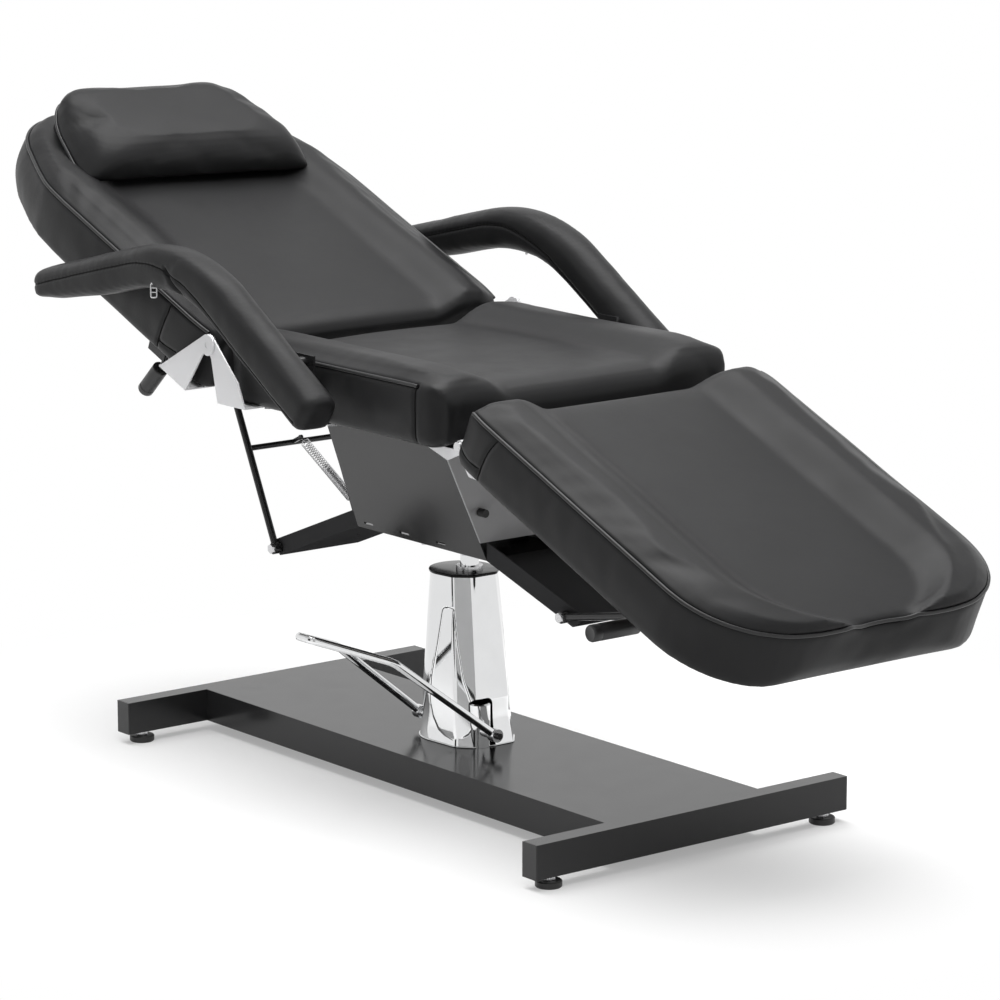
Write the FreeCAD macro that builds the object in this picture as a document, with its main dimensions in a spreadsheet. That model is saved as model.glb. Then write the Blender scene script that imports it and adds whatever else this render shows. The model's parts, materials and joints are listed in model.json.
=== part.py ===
import FreeCAD, Part
import Sketcher
import math
import os
import re

# Tattoo chair on a hydraulic pump: a steel base with a foot pump, a seat frame that
# lifts and swivels, and a hinged back rest and leg rest on ratchet props.
# Z is up, the foot end points to -Y and the head end to +Y. Heights start at the
# floor, and lengths along Y are counted from the pump's axis unless said otherwise.

# Driving dimensions in millimetres and degrees
SIZES = {
    # where the pump's axis stands behind the middle of the footprint
    "pump_y": -21.4,
    # general clearances and the length that cutting tools run past a face
    "overrun": 5,
    "running_fit": 0.05,
    "soft_gap": 0.3,
    "bolt_fit": 0.1,
    "plate_gap": 0.5,
    # levelling feet
    "foot_inset": 34.5,
    "foot_radius": 19,
    "foot_height": 10,
    "foot_edge": 1.5,
    "foot_gap": 7,
    "stem_radius": 5,
    "stem_length": 46,
    "foot_nut_radius": 9.8,
    "foot_nut_height": 6.5,
    # cross rails of the base
    "rail_y": 500,
    "rail_length": 579,
    "rail_width": 30,
    "rail_height": 50,
    "rail_wall": 2,
    "cap_flange": 2,
    "cap_plug": 12,
    # base tray between the rails
    "tray_width": 285,
    "tray_wall": 3,
    # pump under its cover
    "block_width": 76,
    "block_length": 96,
    "block_height": 45,
    "flange_radius": 52,
    "flange_height": 8,
    "flange_bolt_x": 31.1,
    "cylinder_radius": 28,
    "ram_radius": 14,
    "ram_length": 295,
    "ram_foot_gap": 5,
    # chrome cover with a rounded back and a flat front
    "shroud_height": 253,
    "shroud_wall": 2,
    "shroud_low_half": 61,
    "shroud_low_centre": 24,
    "shroud_low_shoulder_x": 57,
    "shroud_low_shoulder_y": 36,
    "shroud_low_front_x": 32,
    "shroud_low_front_y": 66,
    "shroud_top_half": 48,
    "shroud_top_centre": 18,
    "shroud_top_shoulder_x": 44,
    "shroud_top_shoulder_y": 14,
    "shroud_top_front_x": 20,
    "shroud_top_front_y": 36,
    "lid_thickness": 4,
    "gland_radius": 20,
    "gland_height": 11,
    # foot pedal
    "pedal_x": 24,
    "pedal_z": 92,
    "pedal_shaft_radius": 7,
    "shaft_window_gap": 1.5,
    "pedal_boss_y": 91,
    "pedal_boss_radius": 10,
    "pedal_boss_length": 14,
    "pedal_rod_radius": 6,
    "pedal_knee_x": 195,
    "pedal_knee_y": 70,
    "pedal_knee_z": 224,
    "pedal_toe_x": 303,
    "pedal_toe_y": 17,
    "pedal_toe_z": 264,
    "pedal_knee_bend": 45,
    "pedal_toe_bend": 14,
    "pedal_screw_radius": 5,
    "pedal_screw_head": 5,
    # seat frame
    "frame_z": 370,
    "frame_plate": 3,
    "frame_half_bottom": 75,
    "frame_half_top": 160,
    "frame_flange": 28,
    "frame_rear_bottom": 176,
    "frame_rear_top": 153,
    "frame_front_bottom": 136,
    "frame_front_top": 123,
    "arm_depth": 28,
    "arm_nose": 12,
    "front_arm_reach": 208,
    "front_arm_drop": 66,
    "rear_arm_reach": 214,
    "rear_arm_drop": 84,
    "slot_length": 22,
    "slot_height": 3,
    "slot_rise": 8,
    "slot_first_y": -32,
    "slot_pitch": 88,
    "hub_plate": 6,
    "hub_plate_size": 124,
    "hub_radius": 27,
    "hub_roof": 8,
    "hub_bolt_x": 48,
    "hub_bolt_y": 48,
    "bolt_radius": 4,
    "bolt_head_radius": 7.5,
    "bolt_head_height": 5,
    "bolt_bite": 12,
    "buffer_x": 88,
    "buffer_z": 444,
    "buffer_radius": 6,
    "buffer_length": 14,
    # seat
    "seat_z": 576,
    "seat_thick": 88,
    "seat_half_width": 272,
    "seat_front": 280,
    "seat_rear": 235,
    "pad_bow": 3,
    "pad_crown": 4,
    "board_thick": 15,
    "board_inset": 20,
    "seat_board_corner": 30,
    # back rest, in its own frame: along the pad from the hinge, and square to it
    "back_hinge_y": 255,
    "back_hinge_z": 658,
    "back_angle": 22,
    "back_start": 8,
    "back_length": 695,
    "back_half_width": 277,
    "back_top": 9,
    "back_thick": 99,
    "back_board_corner": 170,
    "back_board_end": 50,
    # leg rest, in its own frame: forward from the hinge, and square to it
    "leg_hinge_y": 292,
    "leg_hinge_z": 582,
    "leg_angle": 23,
    "leg_start": 12.5,
    "leg_length": 609,
    "leg_half_width": 272,
    "leg_low": 10.7,
    "leg_thick": 91.7,
    "leg_board_corner": 95,
    "bolster_width": 92,
    "bolster_rise": 9,
    "dish_sink": 8,
    # pillow on the back rest
    "pillow_inset": 48,
    "pillow_length": 200,
    "pillow_half_width": 205,
    "pillow_height": 99,
    "pillow_bulge": 6,
    # hinge plates of the back rest
    "hinge_plate_x": 286,
    "hinge_plate_thick": 2.5,
    "hinge_lobe": 16,
    "hinge_flange": 62,
    "back_plate_start": 26,
    "back_plate_end": 100,
    "back_plate_neck": 18,
    "back_plate_neck_y": 4.8,
    "seat_plate_rear": 21,
    "seat_plate_front": 91,
    "seat_plate_knee_y": 73,
    "seat_plate_knee_z": 47,
    "seat_plate_neck": 20,
    "seat_plate_neck_y": 6.4,
    "hinge_bolt_radius": 5,
    "hinge_head_radius": 9,
    "hinge_head_height": 5,
    # hinge plates of the leg rest
    "leg_plate_x": 240,
    "leg_lobe": 9.5,
    "leg_plate_reach": 86,
    "leg_plate_drop": 30,
    "leg_plate_sag": 0.6,
    "leg_plate_knee": 0.38,
    "leg_plate_heel": 0.3,
    "leg_plate_flange": 40,
    "leg_bolt_edge": 12,
    # ratchet props
    "prop_x": 83,
    "prop_radius": 5.5,
    "prop_end_radius": 6,
    "prop_bar_radius": 4.5,
    "prop_eye_radius": 9,
    "prop_eye_length": 12,
    "prop_side_gap": 1,
    "back_prop_y": 378,
    "back_prop_z": 303,
    "back_prop_angle": 64.4,
    "back_prop_length": 330,
    "back_prop_bar": 162,
    "leg_prop_y": 322,
    "leg_prop_z": 322,
    "leg_prop_angle": 11,
    "leg_prop_length": 339,
    "rack_x": 98,
    "rack_thick": 3,
    "rack_foot": 24,
    # spring of the back prop
    "lug_length": 26,
    "lug_thick": 4,
    "lug_radius": 4,
    "lug_waist": 6,
    "anchor_y": 285,
    "anchor_z": 380,
    "anchor_post": 10,
    "spring_coil_radius": 6.8,
    "spring_wire_radius": 0.7,
    "spring_tail": 8,
    "spring_open_share": 0.46,
    "spring_open_turns": 13,
    "spring_close_turns": 30,
    # release lever under the back rest
    "back_lever_x": 246,
    "back_lever_a": 146,
    "back_lever_b": 12,
    "back_lever_rod": 5,
    "back_lever_knee": 18,
    "back_lever_reach_a": 29,
    "back_lever_reach_b": 78,
    "back_grip_radius": 12.5,
    "back_grip_length": 60,
    "bracket_thick": 3,
    "bracket_gap": 16,
    "bracket_width": 22,
    # release lever under the leg rest
    "leg_lever_f": 342,
    "leg_lever_b": 14,
    "leg_lever_inner": 136,
    "leg_lever_span": 28,
    "leg_lever_drop_f": 30,
    "leg_lever_drop_b": 37,
    "leg_lever_outer": 270,
    "leg_lever_rod": 5,
    "leg_grip_radius": 12,
    "leg_grip_length": 82,
    # armrests
    "armrest_x": 330,
    "armrest_width": 62,
    "armrest_thick": 54,
    "armrest_round": 27,
    "armrest_low_y": -60,
    "armrest_low_z": 614,
    "armrest_knee_y": 237,
    "armrest_knee_z": 799,
    "armrest_tip_y": 632,
    "armrest_tip_z": 704,
    "armrest_bend": 290,
    "armrest_tube_radius": 11,
    "armrest_tube_end": 60,
    "armrest_stub_radius": 8,
    "armrest_foot_y": 20,
    "armrest_foot_width": 44,
    "armrest_foot_x": 281,
    # pull tabs of the sleeve zips
    "pull_x": 352,
    "pull_y": 302,
    "pull_eye_radius": 3.6,
    "pull_hole_radius": 1.6,
    "pull_width": 5,
    "pull_length": 18.6,
    "pull_thick": 1.4,
}

# Counts
SLOT_COUNT = 3
HEX_SIDES = 6

# Below this a quadratic's leading term counts as none
NEARLY_NONE = 1e-9
# Stretches of wire that belong together when the spring's gap to itself is measured
NEAR_WIRES = 8
WINDOW_TURNS = 2.5

# Plan of each pad: share of its length, of its half width and of its thickness
SEAT_PLAN_SHARES = [
    (0.0, 0.81, 0.93), (0.012, 0.88, 0.96), (0.04, 0.94, 0.985), (0.09, 0.99, 1.0),
    (0.5, 1.0, 1.0), (0.93, 1.0, 1.0), (0.98, 0.985, 0.985), (1.0, 0.95, 0.95),
]
BACK_PLAN_SHARES = [
    (0.0, 0.87, 0.95), (0.015, 0.93, 0.98), (0.055, 0.975, 1.0), (0.14, 1.0, 1.0),
    (0.6, 1.0, 1.0), (0.7, 0.95, 1.0), (0.79, 0.905, 1.0), (0.86, 0.87, 1.0),
    (0.92, 0.8, 0.99), (0.965, 0.69, 0.98), (0.99, 0.56, 0.96), (1.0, 0.42, 0.93),
]
LEG_PLAN_SHARES = [
    (0.0, 0.94, 0.95), (0.02, 0.985, 0.98), (0.06, 1.0, 1.0), (0.5, 1.0, 1.0),
    (0.81, 1.0, 1.0), (0.88, 0.965, 1.0), (0.94, 0.88, 0.99), (0.98, 0.76, 0.97),
    (1.0, 0.58, 0.94),
]
PILLOW_SHARES = [
    (0.0, 0.88, 0.3), (0.06, 0.94, 0.52), (0.25, 0.985, 0.76), (0.62, 1.0, 1.0),
    (0.84, 0.98, 0.9), (0.95, 0.94, 0.66), (1.0, 0.88, 0.36),
]

# The prop's bar under each board: share of the board's length from the hinge, and
# share of the prop's length below the pad
BACK_RACK_SHARES = [
    (0.5, 0.03), (0.4, 0.12), (0.32, 0.175), (0.22, 0.2), (0.15, 0.195),
    (0.08, 0.16), (0.035, 0.09),
]
LEG_RACK_SHARES = [
    (0.44, 0.045), (0.5, 0.068), (0.57, 0.08), (0.66, 0.085), (0.75, 0.085),
    (0.82, 0.08), (0.87, 0.07),
]

# Outlines of the hinge plates near their pin, as shares of the lobe's radius
SEAT_PLATE_SHARES = [(-0.8, 0.6), (0.5, 0)]
BACK_PLATE_SHARES = [(0.7, 0.7), (-0.5, 0)]
LEG_PLATE_SHARES = (0.6, -0.8)

# Bolts along each plate, as shares of the plate, the board or the flange they go through
SEAT_HINGE_BOLT_SHARES = (0.18, 0.5)
BACK_HINGE_BOLT_SHARES = (0.3, 0.75)
BACK_RACK_BOLT_SHARES = (0.12, 0.42)
LEG_HINGE_BOLT_SHARES = (0.55, 0.85)
LEG_RACK_BOLT_SHARES = (0.52, 0.82)
HINGE_FLANGE_SHARE = 0.8
ARMREST_FLANGE_SHARE = 0.6

# Heights that several pieces share
RAIL_Z = "(foot_height + foot_gap)"
DECK_Z = "(foot_height + foot_gap + rail_height)"
SHROUD_TOP = "(foot_height + foot_gap + rail_height + shroud_height)"
RAM_Z = "(foot_height + foot_gap + rail_height + block_height + ram_foot_gap)"

FOOT_X = "(rail_length / 2 - foot_inset)"
LEG_OUTER_X = "(leg_plate_x + hinge_plate_thick + plate_gap)"

X = FreeCAD.Vector(1, 0, 0)
Y = FreeCAD.Vector(0, 1, 0)
Z = FreeCAD.Vector(0, 0, 1)
TURNS = {"x": (Y, 90), "y": (X, -90), "z": (Z, 0)}
SIDES = {"left": "-1", "right": "1"}

doc = FreeCAD.newDocument("tattoo_chair")
sheet = doc.addObject("Spreadsheet::Sheet", "sizes")
nodes = []


def fillSheet():
    """Write each driving dimension beside its name."""
    for row, (alias, value) in enumerate(SIZES.items(), start=1):
        sheet.set("A%d" % row, alias)
        sheet.set("B%d" % row, str(value))
        sheet.setAlias("B%d" % row, alias)
    doc.recompute()


def size(alias):
    """Read one driving dimension from the sheet."""
    return float(getattr(sheet, alias))


def formula(text):
    """Point every size name in a formula at the sheet."""
    def link(word):
        return "sizes." + word.group() if word.group() in SIZES else word.group()
    return re.sub(r"[a-z][a-z_]*", link, text)


def bind(thing, path, text):
    """Drive a property by a formula of the sheet's sizes."""
    if text != "0":
        thing.setExpression(path, formula(text))


def put(thing, at, along="z"):
    """Stand a primitive at a point, with its own Z turned along an axis."""
    axis, angle = TURNS[along]
    thing.Placement = FreeCAD.Placement(FreeCAD.Vector(), FreeCAD.Rotation(axis, angle))
    for letter, text in zip("xyz", at):
        bind(thing, "Placement.Base." + letter, text)
    return thing


def box(name, x, y, z):
    """A block between two faces on each axis."""
    block = doc.addObject("Part::Box", name)
    for side, (low, high) in zip(("Length", "Width", "Height"), (x, y, z)):
        bind(block, side, "(%s) - (%s)" % (high, low))
    return put(block, (x[0], y[0], z[0]))


def rod(name, radius, length, at, along="z"):
    """A round bar from a point along an axis."""
    bar = doc.addObject("Part::Cylinder", name)
    bind(bar, "Radius", radius)
    bind(bar, "Height", length)
    return put(bar, at, along)


def hexagon(name, radius, length, at, along="z"):
    """A nut or a bolt's head from a point along an axis."""
    head = doc.addObject("Part::Prism", name)
    head.Polygon = HEX_SIDES
    bind(head, "Circumradius", radius)
    bind(head, "Height", length)
    return put(head, at, along)


def plane(body, role):
    """One of the body's own base planes."""
    return [face for face in body.Origin.OriginFeatures if face.Role == role][0]


def outline(body, role, points):
    """A closed sketch of straight lines through points given as formulas."""
    sketch = body.newObject("Sketcher::SketchObject", body.Name + "_sketch")
    sketch.AttachmentSupport = [(plane(body, role), "")]
    sketch.MapMode = "FlatFace"
    count = len(points)
    ring = [FreeCAD.Vector(math.cos(math.tau * i / count), math.sin(math.tau * i / count))
            for i in range(count)]
    for i in range(count):
        sketch.addGeometry(Part.LineSegment(ring[i], ring[(i + 1) % count]), False)
    for i in range(count):
        sketch.addConstraint(Sketcher.Constraint("Coincident", i, 2, (i + 1) % count, 1))
    for i, point in enumerate(points):
        for kind, text in zip(("DistanceX", "DistanceY"), point):
            index = sketch.addConstraint(Sketcher.Constraint(kind, -1, 1, i, 1, 1.0))
            sketch.setExpression("Constraints[%d]" % index, formula(text))
    return sketch


def prism(name, role, points, low, high):
    """A plate of any outline between two positions along the outline's normal."""
    body = doc.addObject("PartDesign::Body", name)
    pad = body.newObject("PartDesign::Pad", name + "_pad")
    pad.Profile = outline(body, role, points)
    bind(pad, "Length", "(%s) - (%s)" % (high, low))
    body.Tip = pad
    letter, start = {"YZ_Plane": ("x", low), "XZ_Plane": ("y", high), "XY_Plane": ("z", low)}[role]
    bind(body, "Placement.Base." + letter, start)
    return body


def lathe(name, points, at=("0", "0", "0")):
    """A turned piece, from half its profile as radius and height."""
    body = doc.addObject("PartDesign::Body", name)
    turned = body.newObject("PartDesign::Revolution", name + "_turned")
    turned.Profile = outline(body, "XZ_Plane", points)
    turned.ReferenceAxis = (turned.Profile[0], ["V_Axis"])
    turned.Angle = 360
    body.Tip = turned
    return put(body, at)


def fuse(name, things):
    """Join touching forms into one."""
    joined = doc.addObject("Part::MultiFuse", name)
    joined.Shapes = things
    return joined


def group(name, things):
    """Keep forms together without joining them."""
    together = doc.addObject("Part::Compound", name)
    together.Links = things
    return together


def cut(name, base, tools):
    """Take the tools away from a form."""
    result = doc.addObject("Part::Cut", name)
    result.Base = base
    result.Tool = tools[0] if len(tools) == 1 else group(name + "_tools", tools)
    return result


def common(name, first, second):
    """What two forms share."""
    result = doc.addObject("Part::Common", name)
    result.Base = first
    result.Tool = second
    return result


def feature(name, shape):
    """A piece whose form is worked out from the sheet's values."""
    thing = doc.addObject("Part::Feature", name)
    thing.Shape = shape
    return thing


def node(label, things, y="0", z="0", angle="0"):
    """Gather the solids of one sub-part and stand them in the chair."""
    thing = group("node_" + label, things)
    thing.Label = label
    thing.Placement = FreeCAD.Placement(FreeCAD.Vector(), FreeCAD.Rotation(X, 1))
    bind(thing, "Placement.Base.y", "pump_y + (%s)" % y)
    bind(thing, "Placement.Base.z", z)
    thing.setExpression("Placement.Rotation.Angle", formula(angle))
    nodes.append(thing)


def inBack(label, things):
    """A sub-part drawn in the back rest's own frame."""
    node(label, things, "back_hinge_y", "back_hinge_z", "back_angle")


def inLeg(label, things):
    """A sub-part drawn in the leg rest's own frame."""
    node(label, things, "-leg_hinge_y", "leg_hinge_z", "leg_angle")


def vector(x, y, z):
    """A point or direction."""
    return FreeCAD.Vector(x, y, z)


# Base

def rails():
    """Two square tubes across the base, with the feet's holes in the lower wall."""
    half = "(rail_length / 2 - cap_flange)"
    for label, sign in (("base_rail_front", "-1"), ("base_rail_rear", "1")):
        y = "(%s * rail_y)" % sign
        wide = (y + " - rail_width / 2", y + " + rail_width / 2")
        tube = box(label + "_tube", ("-" + half, half), wide, (RAIL_Z, DECK_Z))
        inside = (y + " - rail_width / 2 + rail_wall", y + " + rail_width / 2 - rail_wall")
        bore = box(label + "_bore", ("-%s - overrun" % half, half + " + overrun"), inside,
                   (RAIL_Z + " + rail_wall", DECK_Z + " - rail_wall"))
        holes = [rod("%s_hole_%s" % (label, side), "stem_radius + running_fit",
                     "rail_wall + 2 * overrun", ("%s * %s" % (way, FOOT_X), y, RAIL_Z + " - overrun"))
                 for side, way in SIDES.items()]
        node(label, [cut(label + "_cut", tube, [bore] + holes)])


def railCaps():
    """A plastic plug in each end of the rails."""
    caps = []
    for end, sign in (("front", "-1"), ("rear", "1")):
        y = "(%s * rail_y)" % sign
        inner = "rail_width / 2 - rail_wall - bolt_fit"
        plug = box("cap_plug_" + end, ("rail_length / 2 - cap_flange - cap_plug",
                   "rail_length / 2 - cap_flange"), ("%s - (%s)" % (y, inner), "%s + %s" % (y, inner)),
                   (RAIL_Z + " + rail_wall + bolt_fit", DECK_Z + " - rail_wall - bolt_fit"))
        face = box("cap_face_" + end, ("rail_length / 2 - cap_flange", "rail_length / 2"),
                   (y + " - rail_width / 2", y + " + rail_width / 2"), (RAIL_Z, DECK_Z))
        right = fuse("cap_right_" + end, [plug, face])
        left = doc.addObject("Part::Mirroring", "cap_left_" + end)
        left.Source = right
        left.Normal = X
        caps += [right, left]
    node("rail_end_caps", caps)


def tray():
    """The base plate: a wide channel, open below, welded between the rails."""
    half = "tray_width / 2"
    reach = "rail_y - rail_width / 2"
    outer = box("tray_outer", ("-" + half, half), ("-(%s)" % reach, reach), (RAIL_Z, DECK_Z))
    inner = box("tray_inner", ("-%s + tray_wall" % half, half + " - tray_wall"),
                ("-(%s) - overrun" % reach, reach + " + overrun"),
                (RAIL_Z + " - overrun", DECK_Z + " - tray_wall"))
    holes = [rod("tray_hole_" + name, "bolt_radius + bolt_fit", "tray_wall + 2 * overrun",
                 (x, y, DECK_Z + " - tray_wall - overrun")) for name, x, y in flangeBolts()]
    node("base_plate", [cut("tray_cut", outer, [inner] + holes)])


def flangeBolts():
    """Places of the four bolts that hold the pump down."""
    return [("a", "-flange_bolt_x", "-flange_bolt_x"), ("b", "flange_bolt_x", "-flange_bolt_x"),
            ("c", "flange_bolt_x", "flange_bolt_x"), ("d", "-flange_bolt_x", "flange_bolt_x")]


def feet():
    """Four levelling feet that screw out of the rails, each with a lock nut."""
    nuts = []
    number = 1
    for end, along in (("front", "-1"), ("rear", "1")):
        for side, across in SIDES.items():
            at = ("%s * %s" % (across, FOOT_X), "%s * rail_y" % along, "0")
            stem = RAIL_Z + " + stem_length"
            turned = lathe("foot_turned_%d" % number, [
                ("0", "0"), ("foot_radius - foot_edge", "0"), ("foot_radius", "foot_edge"),
                ("foot_radius", "foot_height - foot_edge"),
                ("foot_radius - foot_edge", "foot_height"), ("stem_radius", "foot_height"),
                ("stem_radius", stem), ("0", stem)], at)
            node("level_foot_%s_%s" % (end, side), [turned])
            low = RAIL_Z + " - foot_nut_height"
            nut = hexagon("foot_nut_%d" % number, "foot_nut_radius", "foot_nut_height", (at[0], at[1], low))
            bore = rod("foot_nut_bore_%d" % number, "stem_radius + running_fit",
                       "foot_nut_height + 2 * overrun", (at[0], at[1], low + " - overrun"))
            nuts.append(cut("foot_nut_cut_%d" % number, nut, [bore]))
            number += 1
    node("foot_nuts", nuts)


# Pump

def pump():
    """Cast pump block on a flange, with the cylinder that guides the ram."""
    half_x = "block_width / 2"
    half_y = "block_length / 2"
    block = box("pump_block", ("-" + half_x, half_x), ("-" + half_y, half_y),
                (DECK_Z, DECK_Z + " + block_height"))
    flange = rod("pump_flange", "flange_radius", "flange_height", ("0", "0", DECK_Z))
    barrel = rod("pump_barrel", "cylinder_radius", "shroud_height", ("0", "0", DECK_Z))
    ram_bore = rod("pump_bore", "ram_radius + running_fit", "shroud_height + overrun",
                   ("0", "0", RAM_Z + " - ram_foot_gap"))
    shaft_bore = rod("pump_shaft_bore", "pedal_shaft_radius + running_fit",
                     "block_length + 2 * overrun",
                     ("-pedal_x", "-%s - overrun" % half_y, "pedal_z"), "y")
    holes = [rod("flange_hole_" + name, "bolt_radius + bolt_fit", "block_height + 2 * overrun",
                 (x, y, DECK_Z + " - overrun")) for name, x, y in flangeBolts()]
    pockets = [rod("flange_pocket_" + name, "bolt_head_radius + overrun", "block_height",
                   (x, y, DECK_Z + " + flange_height")) for name, x, y in flangeBolts()]
    body = fuse("pump_body", [block, flange, barrel])
    voids = fuse("pump_voids", [ram_bore, shaft_bore] + holes + pockets)
    node("pump_cylinder", [cut("pump_cut", body, [voids])])
    node("pump_bolts", [bolt("pump_bolt_" + name, x, y, DECK_Z + " + flange_height", "up",
                             "flange_height + tray_wall + bolt_head_height")
                        for name, x, y in flangeBolts()])
    gland = rod("gland_ring", "gland_radius", "gland_height", ("0", "0", SHROUD_TOP))
    gland_bore = rod("gland_bore", "ram_radius + running_fit", "gland_height + 2 * overrun",
                     ("0", "0", SHROUD_TOP + " - overrun"))
    node("ram_gland", [cut("gland_cut", gland, [gland_bore])])
    node("lift_ram", [rod("ram_bar", "ram_radius", "ram_length", ("0", "0", RAM_Z))])


def bolt(name, x, y, face, way, shank):
    """A hexagon bolt: its head on a face, its shank through it, upward or downward."""
    if way == "up":
        head = hexagon(name + "_head", "bolt_head_radius", "bolt_head_height", (x, y, face))
        bar = rod(name + "_shank", "bolt_radius", shank, (x, y, "%s - (%s)" % (face, shank)))
    else:
        head = hexagon(name + "_head", "bolt_head_radius", "bolt_head_height",
                       (x, y, face + " - bolt_head_height"))
        bar = rod(name + "_shank", "bolt_radius", shank, (x, y, face))
    return fuse(name, [head, bar])


def coverRing(level, height, inset):
    """Plan of the chrome cover at one level: flat front, cut shoulders, round back."""
    half = size("shroud_%s_half" % level) - inset
    centre = size("shroud_%s_centre" % level)
    shoulder_x = size("shroud_%s_shoulder_x" % level) - inset
    shoulder_y = size("shroud_%s_shoulder_y" % level) - inset / 2
    front_x = size("shroud_%s_front_x" % level) - inset / 2
    front_y = size("shroud_%s_front_y" % level) - inset
    corners = [(-half, centre), (-shoulder_x, -shoulder_y), (-front_x, -front_y),
               (front_x, -front_y), (shoulder_x, -shoulder_y), (half, centre)]
    points = [vector(x, y, height) for x, y in corners]
    edges = [Part.makeLine(a, b) for a, b in zip(points, points[1:])]
    slant = half * math.sqrt(0.5)
    back = vector(0, centre + half, height)
    right = vector(slant, centre + slant, height)
    left = vector(-slant, centre + slant, height)
    edges.append(Part.Arc(points[-1], right, back).toShape())
    edges.append(Part.Arc(back, left, points[0]).toShape())
    return Part.Wire(edges)


def cover():
    """Chrome cover of the pump with its black lid."""
    base = size("foot_height") + size("foot_gap") + size("rail_height")
    top = base + size("shroud_height")
    wall = size("shroud_wall")
    outer = Part.makeLoft([coverRing("low", base, 0), coverRing("top", top, 0)], True, True)
    inner = Part.makeLoft([coverRing("low", base, wall), coverRing("top", top, wall)], True, True)
    shell = feature("cover_shell", outer.cut(inner))
    window = "pedal_shaft_radius + shaft_window_gap"
    reach = "pedal_boss_y + overrun"
    hole = rod("cover_window", window, "2 * (%s)" % reach, ("-pedal_x", "-(%s)" % reach, "pedal_z"), "y")
    node("pump_shroud", [cut("cover_cut", shell, [hole])])
    plan = Part.Face(coverRing("top", top, 0))
    lid = feature("lid_plate", plan.extrude(vector(0, 0, size("lid_thickness"))))
    eye = rod("lid_eye", "gland_radius + soft_gap", "lid_thickness + 2 * overrun",
              ("0", "0", SHROUD_TOP + " - overrun"))
    node("shroud_lid", [cut("lid_cut", lid, [eye])])


# Bent bars

def bentWire(points, bends):
    """Straight runs joined by tangent arcs of the given radii."""
    edges = []
    start = points[0]
    for before, corner, after, radius in zip(points, points[1:], points[2:], bends):
        into = (corner - before).normalize()
        out = (after - corner).normalize()
        turn = into.getAngle(out)
        step = radius * math.tan(turn / 2)
        first = corner - into * step
        last = corner + out * step
        inward = (out - into).normalize()
        middle = corner + inward * (radius / math.cos(turn / 2) - radius)
        edges.append(Part.makeLine(start, first))
        edges.append(Part.Arc(first, middle, last).toShape())
        start = last
    edges.append(Part.makeLine(start, points[-1]))
    return Part.Wire(edges)


def bentBar(points, bends, radius):
    """A round bar along a bent route."""
    route = bentWire(points, bends)
    ring = Part.Wire([Part.makeCircle(radius, points[0], points[1] - points[0])])
    return route.makePipeShell([ring], True, True)


def pedal():
    """Chrome foot pedal: one bent bar, two bosses, and the shaft between them."""
    pivot_x, pivot_z, boss_y = size("pedal_x"), size("pedal_z"), size("pedal_boss_y")
    side = []
    for way in (-1, 1):
        pivot = vector(-pivot_x, way * boss_y, pivot_z)
        knee = vector(-size("pedal_knee_x"), way * size("pedal_knee_y"), size("pedal_knee_z"))
        toe = vector(-size("pedal_toe_x"), way * size("pedal_toe_y"), size("pedal_toe_z"))
        side.append([pivot, knee, toe])
    route = side[0] + side[1][::-1]
    start = (route[1] - route[0]).normalize() * (size("pedal_boss_radius") - size("pedal_rod_radius") / 2)
    finish = (route[-2] - route[-1]).normalize() * start.Length
    route[0] = route[0] + start
    route[-1] = route[-1] + finish
    knee_bend, toe_bend = size("pedal_knee_bend"), size("pedal_toe_bend")
    bar = feature("pedal_bent_bar", bentBar(route, [knee_bend, toe_bend, toe_bend, knee_bend],
                                            size("pedal_rod_radius")))
    half = "pedal_boss_length / 2"
    bosses = []
    bores = []
    for name, sign in SIDES.items():
        middle = "%s * pedal_boss_y" % sign
        bosses.append(rod("pedal_boss_" + name, "pedal_boss_radius", "pedal_boss_length",
                          ("-pedal_x", "%s - %s" % (middle, half), "pedal_z"), "y"))
        bores.append(rod("pedal_bore_" + name, "pedal_shaft_radius + bolt_fit",
                         "pedal_boss_length + 2 * overrun",
                         ("-pedal_x", "%s - %s - overrun" % (middle, half), "pedal_z"), "y"))
    node("pedal_bar", [cut("pedal_cut", fuse("pedal_body", [bar] + bosses), bores)])
    reach = "(pedal_boss_y + %s)" % half
    node("pedal_shaft", [rod("shaft_bar", "pedal_shaft_radius", "2 * " + reach,
                             ("-pedal_x", "-" + reach, "pedal_z"), "y")])
    screws = [rod("pedal_screw_left", "pedal_screw_radius", "pedal_screw_head",
                  ("-pedal_x", "-%s - pedal_screw_head" % reach, "pedal_z"), "y"),
              rod("pedal_screw_right", "pedal_screw_radius", "pedal_screw_head",
                  ("-pedal_x", reach, "pedal_z"), "y")]
    node("pedal_screws", screws)


# Seat frame

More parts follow.
